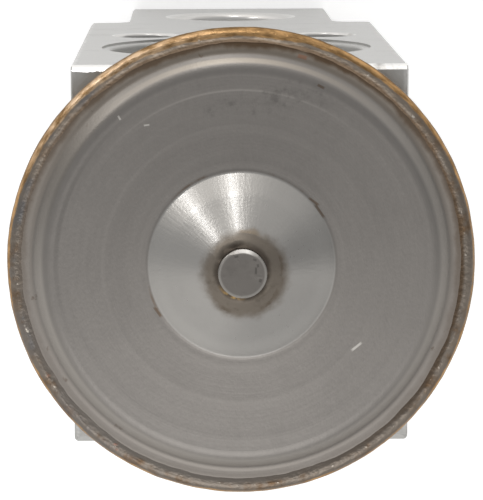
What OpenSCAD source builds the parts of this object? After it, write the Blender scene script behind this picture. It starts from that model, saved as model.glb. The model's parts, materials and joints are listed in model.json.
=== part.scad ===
// Block expansion valve: a T-shaped aluminium block with two cross passages,
// a welded diaphragm head on top and a spring-loaded ball valve inside.
// The valve axis is Z, and the origin is on it at the block's flat bottom.
// +Y is the line side, -Y the evaporator side.

/* [Block] */
// Width of the upper block along X
block_w = 30; // [28:0.5:34]
// Depth of the block between its two port faces
block_d = 34; // [32:0.5:42]
// Height of the block
block_h = 82.5; // [80:0.5:92]
// Width of the narrow lower part
lower_w = 22; // [20:0.5:25]
// Height of the narrow lower part
step_h = 24.4; // [24:0.1:26]
// Inside fillet under each shoulder
step_fillet = 1.8; // [0.5:0.1:2.5]
// Outer rounding of each shoulder
shoulder_r = 1.2; // [0.4:0.1:2]
// Broken edge round the block's top and ends
edge_break = 0.5; // [0.2:0.1:0.8]
// Broken edge down the block's upright corners
side_break = 0.25; // [0.1:0.05:0.5]

/* [Suction passage] */
// Height of the suction passage's axis
suction_z = 60.6; // [59:0.1:61]
// Radius of each suction port
suction_port_r = 12; // [11:0.1:12.4]
// Depth of each suction port from its face
suction_port_depth = 9; // [6:0.5:10]
// Width of the milled ring round each suction port
suction_ring = 0.85; // [0.6:0.05:1.5]
// Depth of that milled ring
suction_ring_depth = 0.2; // [0.1:0.05:0.8]
// Radius of the passage between the two suction ports
suction_bore_r = 9.25; // [8:0.25:9.5]

/* [Liquid passage] */
// Height of the inlet port's axis, on the line side
inlet_z = 14.8; // [14:0.1:16]
// Radius of the inlet port
inlet_port_r = 6.3; // [5.4:0.1:7]
// Radius of the drilling from the inlet port to the spring chamber
inlet_bore_r = 3.5; // [2.5:0.1:4]
// Height of the outlet port's axis, on the evaporator side
outlet_z = 31; // [30:0.1:32]
// Radius of the outlet port
outlet_port_r = 5.6; // [4.6:0.1:6.2]
// Radius of the drilling from the outlet port to the valve axis
outlet_bore_r = 2.75; // [2:0.05:3.2]
// Depth of both liquid ports
liquid_port_depth = 8.5; // [7:0.1:9]
// Rounded mouth of the liquid ports
port_break = 0.85; // [0.4:0.05:1.1]
// Rounded mouth of the fastener holes and the suction ports
hole_break = 0.3; // [0.2:0.05:0.6]

/* [Fastener holes] */
// Height of the two through holes
bolt_z = 44.5; // [44:0.1:45]
// Distance between the two through holes
bolt_spacing = 17.7; // [17.4:0.1:19]
// Radius of each through hole
bolt_hole_r = 3.15; // [2.7:0.05:3.3]
// Height of the tapped hole on the line side
stud_z = 36.5; // [36:0.1:37.5]
// Wall radius of the tapped hole
stud_hole_r = 2.6; // [2.1:0.1:3]
// Depth of the tapped hole
stud_depth = 11.5; // [8:0.5:12]

/* [Head] */
// Outer radius of the welded rim
rim_r = 20.75; // [20:0.01:22]
// Height of the rim's crown over the block
rim_rise = 5.16; // [5:0.01:5.6]
// Thickness of the welded rim
rim_t = 1.7; // [1.5:0.05:2]
// Radial width of the weld bead
weld_w = 1.15; // [0.9:0.01:1.3]
// Radius of the shallow groove between flange and bead
groove_r = 0.7; // [0.5:0.05:0.9]
// Depth of that groove
groove_depth = 0.14; // [0.08:0.02:0.2]
// Sheet thickness of the cover
cover_t = 0.8; // [0.6:0.05:1]
// Distance from the plateau's edge to the sheet's edge
flange_w = 2.65; // [2.55:0.05:3]
// Rounding of the plateau's edge
plateau_edge_r = 1.1; // [0.6:0.05:1.2]
// Rise of the plateau over the rim's crown, at the dome
plateau_rise = 1.5; // [1.2:0.05:2]
// Fall of the plateau from the dome to its edge
plateau_fall = 0.45; // [0:0.05:0.6]
// Radius of the dome at its foot
dome_r = 8.2; // [7:0.1:9]
// Height of the dome over its foot
dome_h = 4.3; // [3:0.1:5.5]
// Radius of the dome's flat top
dome_flat_r = 2.9; // [2.9:0.1:3.6]
// Roundness of the dome's side, where 1 is a plain cone
dome_round = 1.35; // [1.1:0.05:1.8]
// Radius of the charge plug's head
plug_r = 2.12; // [1.9:0.02:2.4]
// Height of the charge plug over the dome's top
plug_h = 1.45; // [0.5:0.05:1.6]
// Radius of the plug's stem and of its hole
plug_stem_r = 1.6; // [1.2:0.05:1.8]
// Width of the brazed fillet round the plug
solder_w = 0.75; // [0.4:0.05:1]
// Thickness of the diaphragm
diaphragm_t = 0.15; // [0.1:0.01:0.25]
// Radius of the head's screwed collar
collar_r = 10; // [9.5:0.1:10.4]
// Length of the collar inside the block
collar_l = 6.3; // [5:0.1:6.6]
// Width of the head's seat on the block, outside the collar
seat_w = 2.5; // [2:0.1:3.5]
// Cord radius of the head's sealing ring
head_seal_cord = 0.66; // [0.5:0.02:0.8]
// Distance from the sheet's edge in to the diaphragm's pad
pad_inset = 9.2; // [8.8:0.1:10]
// Thickness of the pad
pad_t = 2; // [1.4:0.1:2.3]
// Least wall of the lower shell outside the pad's recess
recess_wall = 1.3; // [1:0.1:2]

/* [Valve train] */
// Radius of the sensing rod
rod_r = 3.2; // [2.8:0.05:3.4]
// Running clearance of the rod and the pin in their bores
run_gap = 0.05; // [0.02:0.01:0.09]
// Depth of the rod seal's pocket below the suction passage
seal_pocket_depth = 6.35; // [5.6:0.05:6.8]
// Length of the rod's guide bore
guide_l = 6.5; // [5:0.1:7]
// Radius of the push pin
pin_r = 1.2; // [1:0.05:1.4]
// Length of the pin inside the rod
pin_grip = 4; // [3:0.1:5]
// Radius of the ball
ball_r = 2.38; // [2.2:0.02:2.6]
// Radius of the orifice
orifice_r = 1.8; // [1.6:0.05:1.95]
// Opening travel of the ball
valve_travel = 0.8; // [0.4:0.05:1]
// Height of the seat ring's lower face
seat_z = 21; // [20.6:0.1:21.4]
// Height of the seat ring
seat_h = 5; // [4:0.1:5.5]
// Outer radius of the seat ring
seat_r = 4.5; // [4:0.1:5]
// Radius of the chamber above the seat
upper_chamber_r = 3.5; // [3:0.1:3.8]
// Radius of the spring chamber
chamber_r = 6; // [5.8:0.05:6.2]
// Cord radius of the rod's sealing ring
rod_seal_cord = 0.64; // [0.5:0.02:0.7]
// Thickness of the toothed ring that holds the rod's seal
retainer_t = 0.6; // [0.4:0.05:0.9]
// Radius of the carrier's spring flange
flange_r = 5.1; // [4.8:0.05:5.3]
// Thickness of that flange
flange_t = 1; // [0.8:0.05:1.3]
// Radius of the carrier's cup under the ball
cup_r = 2.5; // [2.3:0.05:2.9]
// Number of the damper's legs
damper_legs = 4; // [3:1:6]
// Sheet thickness of the damper
damper_t = 0.25; // [0.15:0.05:0.35]
// Height of the damper
damper_h = 2.9; // [2:0.1:3.2]

/* [Spring and adjuster] */
// Wire diameter of the spring
wire_d = 1; // [0.8:0.05:1.1]
// Mean radius of the spring
coil_r = 4.2; // [4:0.05:4.5]
// Number of the spring's turns
coil_turns = 5.5; // [4.5:0.5:5.5]
// Thread pitch of the adjusting screw
thread_pitch = 1; // [0.75:0.25:1.25]
// Outer radius of the adjusting screw's thread
thread_r = 6.44; // [6.3:0.01:6.6]
// Length of the adjusting screw's thread
thread_l = 3.6; // [3:0.1:4]
// Depth of the screw's end inside the block's bottom
screw_recess = 1; // [0.8:0.1:1.4]
// Length of the screw's smooth land
land_l = 4; // [3.4:0.1:4.2]
// Cord radius of the adjuster's sealing ring
adjuster_cord = 0.62; // [0.5:0.02:0.7]
// Width across flats of the key socket
socket_af = 6; // [5:0.5:6.5]
// Depth of the key socket
socket_depth = 3.6; // [3:0.1:4.5]

/* [Hidden] */

$fn = 96;
eps = 0.01;
// Clearance of the screw's land in its smooth bore
land_gap = 0.06;
// Space left at the ends of a piece's travel
end_gap = 0.4;
// Reach of the adjuster each way: half a turn
adjust_reach = thread_pitch / 2;

// Head levels, from the block's top upwards
rim_top = block_h + rim_rise;
rim_bottom = rim_top - rim_t;
sheet_r = rim_r - weld_w;
plateau_r = sheet_r - flange_w;
pad_r = sheet_r - pad_inset;
flange_top = rim_top - 0.1;
base_flange_t = rim_t / 2;
diaphragm_z = rim_bottom + base_flange_t;
cover_z = diaphragm_z + diaphragm_t;
dome_z = rim_top + plateau_rise;
dome_top = dome_z + dome_h;
plug_top = dome_top + plug_h;
plateau_low = dome_z - plateau_fall;
// Steepest slope of the plateau's edge, and the fillet at its foot
edge_slope = 48;
foot_r = 0.5;
slope_drop = plateau_low - flange_top - (plateau_edge_r + foot_r) * (1 - cos(edge_slope));
slope_r = plateau_r + plateau_edge_r * sin(edge_slope) + slope_drop / tan(edge_slope);
step_r = slope_r + foot_r * sin(edge_slope);
clamp_r = sheet_r - 2.35;
pad_floor = block_h + 1.1;
pad_top = diaphragm_z;
pad_recess_r = pad_r + 0.7;
seat_face_r = max(collar_r + seat_w, pad_recess_r + recess_wall);
collar_bore_r = rod_r + 2;

// Block levels along the valve axis, from the bottom upwards
screw_top = screw_recess + thread_l + land_l;
thread_bore_top = screw_recess + thread_l + adjust_reach + 0.2;
seat_top = seat_z + seat_h;
suction_low = suction_z - suction_bore_r;
seal_pocket_z = suction_low - seal_pocket_depth;
seal_pocket_r = rod_r + 2 * rod_seal_cord + 0.1;
seal_z = seal_pocket_z + rod_seal_cord + 0.02;
retainer_z = seal_z + rod_seal_cord + 0.05;
guide_z = seal_pocket_z - guide_l;
rod_bottom = guide_z + valve_travel + end_gap;
upper_chamber_top = outlet_z + upper_chamber_r;
socket_floor = block_h - collar_l - 0.7;
rod_top = pad_top - pad_t;
spigot_r = rod_r - 0.6;
spigot_l = pad_t / 2;

// The ball sits just under the orifice's lower edge
cone_h = 0.6;
ball_z = seat_z + cone_h - sqrt(ball_r * ball_r - orifice_r * orifice_r) - 0.05;
ball_top = ball_z + ball_r;
cup_top = ball_z - 0.9;
carrier_z = ball_z - ball_r - 0.6 - flange_t + 0.2;
carrier_top = carrier_z + flange_t;
tail_r = coil_r - wire_d / 2 - 0.3;
tail_l = 1.8;

function arc(cx, cz, rx, rz, a0, a1, n) =
  [for (i = [0 : n]) let (a = a0 + (a1 - a0) * i / n) [cx + rx * cos(a), cz + rz * sin(a)]];

// A tube of rectangular section about Z
module ring(r_in, r_out, z0, h) {
  translate([0, 0, z0])
    difference() {
      cylinder(r = r_out, h = h);
      translate([0, 0, -1]) cylinder(r = r_in, h = h + 2);
    }
}

// A sealing ring of round cord about Z
module cord_ring(r_in, cord, z) {
  translate([0, 0, z])
    rotate_extrude()
      translate([r_in + cord, 0]) circle(r = cord, $fn = 40);
}

// A hole drilled inwards from a port face, at depth 0 to d; side is 1 or -1
module face_drill(side, x, z, r, d) {
  translate([x, side * (block_d / 2 + 1), z])
    rotate([side * 90, 0, 0]) cylinder(r = r, h = d + 1);
}

// The rounded mouth of such a hole, as a stack of short cones
module face_break(side, x, z, r, c, steps = 4) {
  translate([x, side * block_d / 2, z])
    rotate([side * 90, 0, 0]) {
      translate([0, 0, -0.5]) cylinder(r = r + c, h = 0.5 + eps);
      for (i = [0 : steps - 1])
        let (a = 90 * i / steps, b = 90 * (i + 1) / steps)
          translate([0, 0, c * (1 - cos(a))])
            cylinder(r1 = r + c * (1 - sin(a)), r2 = r + c * (1 - sin(b)), h = c * (cos(a) - cos(b)));
    }
}

// The block's T outline as seen from a port face
module block_outline() {
  up = block_w / 2;
  low = lower_w / 2;
  difference() {
    union() {
      translate([-up, step_h + shoulder_r]) square([block_w, block_h - step_h - shoulder_r]);
      translate([-up + shoulder_r, step_h]) square([block_w - 2 * shoulder_r, shoulder_r + 1]);
      translate([-low, 0]) square([lower_w, step_h + 1]);
      for (s = [-1, 1]) {
        translate([s * (up - shoulder_r), step_h + shoulder_r]) circle(r = shoulder_r, $fn = 48);
        translate([s * (low + step_fillet / 2 - eps), step_h - step_fillet / 2])
          square([step_fillet + 2 * eps, step_fillet + eps], center = true);
      }
    }
    for (s = [-1, 1])
      translate([s * (low + step_fillet), step_h - step_fillet]) circle(r = step_fillet, $fn = 48);
  }
}

// Bevel cutters along the block's upright corners, top edges and bottom edges
module edge_cutters() {
  c = edge_break * sqrt(2);
  u = side_break * sqrt(2);
  for (sx = [-1, 1], sy = [-1, 1]) {
    translate([sx * block_w / 2, sy * block_d / 2, block_h / 2 + step_h / 2])
      rotate([0, 0, 45]) cube([u, u, block_h - step_h + 2], center = true);
    translate([sx * lower_w / 2, sy * block_d / 2, step_h / 2 - step_fillet / 2])
      rotate([0, 0, 45]) cube([u, u, step_h - step_fillet], center = true);
  }
  for (s = [-1, 1]) {
    translate([0, s * block_d / 2, block_h])
      rotate([45, 0, 0]) cube([block_w + 2, c, c], center = true);
    translate([s * block_w / 2, 0, block_h])
      rotate([0, 45, 0]) cube([c, block_d + 2, c], center = true);
    translate([0, s * block_d / 2, 0])
      rotate([45, 0, 0]) cube([lower_w + 2, c, c], center = true);
    translate([s * lower_w / 2, 0, 0])
      rotate([0, 45, 0]) cube([c, block_d + 2, c], center = true);
  }
}

// Suction ports on both faces and the passage between them
module suction_cut() {
  for (s = [-1, 1]) {
    face_drill(s, 0, suction_z, suction_port_r + suction_ring, suction_ring_depth);
    face_drill(s, 0, suction_z, suction_port_r, suction_port_depth);
    translate([0, -s * suction_ring_depth, 0])
      face_break(s, 0, suction_z, suction_port_r, hole_break);
  }
  face_drill(1, 0, suction_z, suction_bore_r, block_d);
}

// Liquid inlet on the line side, outlet on the evaporator side
module liquid_cut() {
  face_drill(1, 0, inlet_z, inlet_port_r, liquid_port_depth);
  face_break(1, 0, inlet_z, inlet_port_r, port_break);
  face_drill(1, 0, inlet_z, inlet_bore_r, block_d / 2 - chamber_r / 2);
  face_drill(-1, 0, outlet_z, outlet_port_r, liquid_port_depth);
  face_break(-1, 0, outlet_z, outlet_port_r, port_break);
  face_drill(-1, 0, outlet_z, outlet_bore_r, block_d / 2);
}

module fastener_cut() {
  for (s = [-1, 1]) {
    face_drill(1, s * bolt_spacing / 2, bolt_z, bolt_hole_r, block_d + 1);
    for (f = [-1, 1]) face_break(f, s * bolt_spacing / 2, bolt_z, bolt_hole_r, hole_break);
  }
  face_drill(1, 0, stud_z, stud_hole_r, stud_depth);
  face_break(1, 0, stud_z, stud_hole_r, hole_break);
}

// The stepped bore along the valve axis
module axis_cut() {
  translate([0, 0, -1]) cylinder(r = thread_r + land_gap, h = thread_bore_top + 1);
  translate([0, 0, -eps])
    cylinder(r1 = thread_r + land_gap + hole_break + eps, r2 = thread_r + land_gap, h = hole_break + eps);
  cylinder(r = chamber_r, h = seat_z);
  cylinder(r = seat_r, h = seat_top);
  translate([0, 0, seat_z]) cylinder(r = upper_chamber_r, h = upper_chamber_top - seat_z);
  translate([0, 0, outlet_z]) cylinder(r = pin_r + run_gap, h = guide_z - outlet_z + 1);
  translate([0, 0, guide_z]) cylinder(r = rod_r + run_gap, h = seal_pocket_z - guide_z + 1);
  translate([0, 0, seal_pocket_z]) cylinder(r = seal_pocket_r, h = suction_z - seal_pocket_z);
  translate([0, 0, suction_z]) cylinder(r = rod_r + 1.3, h = block_h - suction_z);
  translate([0, 0, socket_floor]) cylinder(r = collar_r, h = block_h - socket_floor + 1);
  translate([0, 0, block_h - 2 * head_seal_cord - 0.08])
    cylinder(r = collar_r + 2 * head_seal_cord + 0.04, h = 3);
}

module valve_block() {
  color([0.72, 0.715, 0.705])
    difference() {
      translate([0, block_d / 2, 0])
        rotate([90, 0, 0]) linear_extrude(height = block_d) block_outline();
      edge_cutters();
      suction_cut();
      liquid_cut();
      fastener_cut();
      axis_cut();
    }
}

// Pressed-in ring with the orifice and the ball's conical seat
module seat_ring() {
  color([0.62, 0.61, 0.59])
    difference() {
      translate([0, 0, seat_z]) cylinder(r = seat_r, h = seat_h);
      translate([0, 0, seat_z - 1]) cylinder(r = orifice_r, h = seat_h + 2);
      translate([0, 0, seat_z - eps]) cylinder(r1 = orifice_r + cone_h, r2 = orifice_r, h = cone_h + eps);
      translate([0, 0, seat_top - 1]) cylinder(r1 = orifice_r, r2 = orifice_r + 1 + eps, h = 1 + eps);
    }
}

// Lower shell of the head, turned with its screwed collar
module head_base() {
  lip = block_h - 2 * head_seal_cord - 0.08;
  color([0.56, 0.55, 0.54])
    rotate_extrude()
      polygon([
        [collar_bore_r, block_h - collar_l],
        [collar_r - 0.6, block_h - collar_l],
        [collar_r - 0.05, block_h - collar_l + 0.55],
        [collar_r - 0.05, block_h],
        [seat_face_r, block_h],
        [seat_face_r, block_h + 1],
        [sheet_r - 2.6, rim_bottom - 0.9],
        [sheet_r - 2, rim_bottom],
        [sheet_r, rim_bottom],
        [sheet_r, diaphragm_z],
        [clamp_r, diaphragm_z],
        [clamp_r - 0.2, diaphragm_z - 0.5],
        [pad_recess_r, pad_floor + 0.9],
        [pad_recess_r, pad_floor],
        [collar_bore_r, pad_floor]
      ]);
}

function reversed(line) = [for (i = [len(line) - 1 : -1 : 0]) line[i]];

// Side of the rounded cone, from its flat top down to its foot
function dome_side(top_r, low_r, low_z, n) =
  [for (i = [0 : n]) let (u = pow(i / n, 1.5))
    [top_r + (low_r - top_r) * u, low_z + dome_h * (1 - pow(u, dome_round))]];

// Outer line of the pressed cover, from its hole to its edge
function cover_outer() = concat(
  [[plug_stem_r, dome_top]],
  dome_side(dome_flat_r, dome_r, dome_z, 22),
  [[dome_r + 0.25, dome_z - 0.03]],
  arc(plateau_r, plateau_low - plateau_edge_r, plateau_edge_r, plateau_edge_r, 90, 90 - edge_slope, 6),
  arc(step_r, flange_top + foot_r, foot_r, foot_r, 270 - edge_slope, 270, 4),
  arc(sheet_r - 0.3, flange_top - 0.3, 0.3, 0.3, 90, 0, 5)
);

// Inner line, one sheet thickness inside the outer one
function cover_inner() = concat(
  [[sheet_r, cover_z], [clamp_r + 0.2, cover_z]],
  [[plateau_r + 0.15, plateau_low - cover_t - 0.35], [plateau_r - 0.4, plateau_low - cover_t - 0.02]],
  reversed(dome_side(dome_flat_r, dome_r - cover_t / 2, dome_z - cover_t, 18)),
  [[plug_stem_r, dome_top - cover_t]]
);

// Pressed stainless cover: flange, raised plateau and central dome
module head_cover() {
  color([0.50, 0.48, 0.46])
    rotate_extrude()
      difference() {
        polygon(concat(cover_outer(), cover_inner()));
        translate([sheet_r, flange_top - groove_depth + groove_r]) circle(r = groove_r, $fn = 48);
      }
}

// Weld bead that closes the rim
module rim_weld() {
  bead_r = rim_t / 2;
  color([0.70, 0.53, 0.37])
    rotate_extrude()
      difference() {
        intersection() {
          union() {
            translate([rim_r - bead_r, rim_bottom + bead_r]) circle(r = bead_r, $fn = 40);
            translate([sheet_r, rim_bottom]) square([rim_r - bead_r - sheet_r + eps, rim_t]);
          }
          translate([sheet_r, rim_bottom - 1]) square([weld_w + 1, rim_t + 2]);
        }
        translate([sheet_r, flange_top - groove_depth + groove_r]) circle(r = groove_r, $fn = 48);
      }
}

// Plug that closes the charging hole
module charge_plug() {
  b = 0.18;
  color([0.41, 0.40, 0.39])
    rotate_extrude()
      polygon([
        [0, dome_top - cover_t - 0.9],
        [plug_stem_r - 0.3, dome_top - cover_t - 0.9],
        [plug_stem_r, dome_top - cover_t - 0.5],
        [plug_stem_r, dome_top],
        [plug_r, dome_top],
        [plug_r, plug_top - b],
        [plug_r - b, plug_top],
        [0, plug_top]
      ]);
}

// Brazed fillet round the plug
module plug_solder() {
  color([0.72, 0.56, 0.34])
    rotate_extrude()
      difference() {
        translate([plug_r, dome_top]) square([solder_w, solder_w * 0.7]);
        translate([plug_r + solder_w, dome_top + solder_w * 0.7])
          scale([1, 0.65]) circle(r = solder_w * 0.9, $fn = 40);
      }
}

// Thin corrugated disc clamped between the two shells
module diaphragm() {
  inner = pad_r + 0.8;
  outer = clamp_r - 0.7;
  n = 36;
  wave = [for (i = [0 : n]) let (t = i / n)
    [inner + (outer - inner) * t, diaphragm_z + 0.16 * sin(720 * t)]];
  top = [for (i = [n : -1 : 0]) [wave[i][0], wave[i][1] + diaphragm_t]];
  color([0.66, 0.65, 0.63])
    rotate_extrude()
      polygon(concat(
        [[0, diaphragm_z]], wave, [[sheet_r, diaphragm_z], [sheet_r, diaphragm_z + diaphragm_t]],
        top, [[0, diaphragm_z + diaphragm_t]]));
}

// Pad that the diaphragm presses on
module diaphragm_pad() {
  color([0.60, 0.59, 0.57])
    difference() {
      union() {
        translate([0, 0, pad_top - pad_t]) cylinder(r1 = pad_r - 0.5, r2 = pad_r, h = 0.5);
        translate([0, 0, pad_top - pad_t + 0.5]) cylinder(r = pad_r, h = pad_t - 0.5);
      }
      translate([0, 0, rod_top - 1]) cylinder(r = spigot_r, h = spigot_l + 1);
    }
}

module head_seal() {
  color([0.09, 0.09, 0.09])
    cord_ring(collar_r, head_seal_cord, block_h - head_seal_cord - 0.03);
}

// Rod that feels the suction gas and carries the diaphragm's stroke down
module sensing_rod() {
  color([0.74, 0.73, 0.71])
    difference() {
      union() {
        translate([0, 0, rod_bottom]) cylinder(r1 = rod_r - 0.4, r2 = rod_r, h = 0.4);
        translate([0, 0, rod_bottom + 0.4]) cylinder(r = rod_r, h = rod_top - rod_bottom - 0.4);
        translate([0, 0, rod_top - eps]) cylinder(r = spigot_r, h = spigot_l + eps);
      }
      translate([0, 0, rod_bottom - 1]) cylinder(r = pin_r, h = pin_grip + 1);
    }
}

module rod_seal() {
  color([0.09, 0.09, 0.09])
    cord_ring(rod_r + 0.06, rod_seal_cord, seal_z);
}

// Toothed push-in ring over the rod's seal
module rod_retainer() {
  color([0.68, 0.67, 0.65])
    difference() {
      ring(rod_r + 0.35, seal_pocket_r - 0.01, retainer_z, retainer_t);
      for (i = [0 : 7])
        rotate([0, 0, i * 45])
          translate([rod_r + 0.2, -0.35, retainer_z - 1]) cube([0.55, 0.7, retainer_t + 2]);
    }
}

module push_pin() {
  top = rod_bottom + pin_grip;
  color([0.75, 0.745, 0.735])
    translate([0, 0, ball_top]) cylinder(r = pin_r, h = top - ball_top);
}

module valve_ball() {
  color([0.78, 0.78, 0.78])
    translate([0, 0, ball_z]) sphere(r = ball_r);
}

// Carrier with a cup for the ball, a flange for the spring and a centring tail
module ball_carrier() {
  color([0.58, 0.57, 0.55])
    difference() {
      union() {
        translate([0, 0, carrier_z]) cylinder(r = flange_r, h = flange_t);
        translate([0, 0, carrier_z]) cylinder(r = cup_r, h = cup_top - carrier_z);
        translate([0, 0, carrier_z - tail_l]) cylinder(r1 = tail_r - 0.5, r2 = tail_r, h = 0.5);
        translate([0, 0, carrier_z - tail_l + 0.5]) cylinder(r = tail_r, h = tail_l - 0.5 + eps);
      }
      translate([0, 0, ball_z]) sphere(r = ball_r);
    }
}

// Legged spring washer that rubs on the chamber's wall and stops chatter
module ball_damper() {
  hub = cup_r + 0.05;
  reach = chamber_r - 0.12;
  t = damper_t;
  z = carrier_top;
  belly = z + damper_h * 0.62;
  color([0.70, 0.69, 0.66])
    union() {
      ring(hub, flange_r - 0.2, z, t);
      for (i = [0 : damper_legs - 1])
        rotate([0, 0, i * 360 / damper_legs - 12])
          rotate_extrude(angle = 24)
            polygon([
              [flange_r - 3 * t, z], [flange_r - t / 2, z], [flange_r + t / 2, z + t],
              [reach, belly], [reach, belly + t], [reach - 2 * t, z + damper_h],
              [reach - 3 * t, z + damper_h], [reach - t, belly + t], [reach - t, belly],
              [flange_r - t / 2, z + 1.6 * t], [flange_r - t, z + t], [flange_r - 3 * t, z + t]
            ]);
    }
}

// Coil spring with closed ends, swept along its helix
spring_z0 = screw_top + 0.02;
spring_len = carrier_z - spring_z0 - 0.02;
end_rise = wire_d + 0.06;
free_rise = (spring_len - wire_d - 2 * end_rise) / (coil_turns - 2);

function coil_height(t) =
  t < 1 ? t * end_rise
  : t < coil_turns - 1 ? end_rise + (t - 1) * free_rise
  : end_rise + (coil_turns - 2) * free_rise + (t - coil_turns + 1) * end_rise;

module valve_spring() {
  sides = 8;
  per_turn = 18;
  rings = coil_turns * per_turn;
  pts = [for (i = [0 : rings], k = [0 : sides - 1])
    let (t = i / per_turn, a = 360 * t, b = 360 * k / sides, r = coil_r + wire_d / 2 * cos(b))
    [r * cos(a), r * sin(a), spring_z0 + wire_d / 2 + coil_height(t) + wire_d / 2 * sin(b)]];
  walls = [for (i = [0 : rings - 1], k = [0 : sides - 1])
    let (n = (k + 1) % sides)
    [i * sides + k, i * sides + n, (i + 1) * sides + n, (i + 1) * sides + k]];
  first = [[for (k = [sides - 1 : -1 : 0]) k]];
  last = [[for (k = [0 : sides - 1]) rings * sides + k]];
  color([0.52, 0.52, 0.51])
    polyhedron(points = pts, faces = concat(walls, first, last), convexity = 6);
}

// Screw that sets the spring's load: thread, grooved land, spring seat, key socket
module adjusting_screw() {
  thread_top = screw_recess + thread_l;
  groove_z = thread_top + land_l / 2;
  color([0.76, 0.67, 0.43])
    difference() {
      union() {
        translate([0, 0, screw_recess]) cylinder(r1 = thread_r - 0.4, r2 = thread_r, h = 0.4);
        translate([0, 0, screw_recess + 0.4]) cylinder(r = thread_r, h = thread_l - 0.4);
        translate([0, 0, thread_top - eps]) cylinder(r = chamber_r - land_gap, h = land_l + eps);
        translate([0, 0, screw_top - eps]) cylinder(r = tail_r, h = 1);
      }
      ring(chamber_r - 2 * adjuster_cord - 0.04, chamber_r + 1, groove_z - adjuster_cord - 0.06,
           2 * adjuster_cord + 0.12);
      translate([0, 0, screw_recess - 1])
        cylinder(r = socket_af / sqrt(3), h = socket_depth + 1, $fn = 6);
    }
}

module adjuster_seal() {
  color([0.09, 0.09, 0.09])
    cord_ring(chamber_r - 2 * adjuster_cord - 0.02, adjuster_cord,
              screw_recess + thread_l + land_l / 2);
}

valve_block();
seat_ring();
head_base();
head_cover();
rim_weld();
charge_plug();
plug_solder();
diaphragm();
diaphragm_pad();
head_seal();
sensing_rod();
rod_seal();
rod_retainer();
push_pin();
valve_ball();
ball_carrier();
ball_damper();
valve_spring();
adjusting_screw();
adjuster_seal();
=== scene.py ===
"""Looks for the block expansion valve: its pieces, finishes, stage and camera.

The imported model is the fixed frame. Metres, +Z up along the valve axis, +Y out
of the line-side port face, the block standing on z = 0.
"""

import json
import math
import random

import bmesh
import bpy
from mathutils import Matrix, Vector, noise


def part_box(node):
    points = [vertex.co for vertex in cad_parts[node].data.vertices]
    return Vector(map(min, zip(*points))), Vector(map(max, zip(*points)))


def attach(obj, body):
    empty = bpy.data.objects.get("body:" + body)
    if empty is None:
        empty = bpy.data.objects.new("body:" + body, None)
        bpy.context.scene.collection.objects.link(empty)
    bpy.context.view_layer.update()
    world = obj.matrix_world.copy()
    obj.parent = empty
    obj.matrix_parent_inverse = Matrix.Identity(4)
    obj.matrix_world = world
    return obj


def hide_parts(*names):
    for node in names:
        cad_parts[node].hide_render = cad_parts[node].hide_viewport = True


bl_info = {
    "name": "Block expansion valve",
    "version": (1, 0, 0),
    "blender": (4, 5, 0),
    "location": "View3D > Sidebar > Valve",
    "description": "Dresses a block expansion valve with its finishes, fine parts and studio",
    "category": "Object",
}

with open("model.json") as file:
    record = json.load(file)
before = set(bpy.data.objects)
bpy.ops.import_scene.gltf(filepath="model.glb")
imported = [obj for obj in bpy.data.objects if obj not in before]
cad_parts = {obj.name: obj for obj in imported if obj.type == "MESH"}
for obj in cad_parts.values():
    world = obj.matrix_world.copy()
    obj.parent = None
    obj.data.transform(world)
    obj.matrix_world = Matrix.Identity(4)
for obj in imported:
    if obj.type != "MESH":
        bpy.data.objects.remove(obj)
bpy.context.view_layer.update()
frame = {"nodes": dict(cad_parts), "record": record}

MM = 0.001
BLOCK_LOW, BLOCK_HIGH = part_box("valve_block")
COVER_LOW, COVER_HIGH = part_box("head_cover")
RIM_LOW, RIM_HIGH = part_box("rim_weld")
PLUG_LOW, PLUG_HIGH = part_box("charge_plug")
BRAZE_LOW, BRAZE_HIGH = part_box("plug_solder")
SCREW_LOW, SCREW_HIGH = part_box("adjusting_screw")

BLOCK_TOP = BLOCK_HIGH.z / MM
BLOCK_HALF_W = BLOCK_HIGH.x / MM
BLOCK_HALF_D = BLOCK_HIGH.y / MM
SHEET_R = COVER_HIGH.x / MM
RIM_R = RIM_HIGH.x / MM
RIM_BOTTOM = RIM_LOW.z / MM
BEAD_R = 0.85
RIM_TOP = RIM_BOTTOM + 2 * BEAD_R
DOME_TOP = COVER_HIGH.z / MM
COVER_UNDER = COVER_LOW.z / MM
PLUG_TOP = PLUG_HIGH.z / MM
PLUG_UNDER = PLUG_LOW.z / MM
PLUG_R = PLUG_HIGH.x / MM
BRAZE_R = BRAZE_HIGH.x / MM
BRAZE_TOP = BRAZE_HIGH.z / MM
BEAD_SHRINK, BEAD_OVAL, BEAD_LEAN = 0.09, 0.04, 0.05


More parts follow.
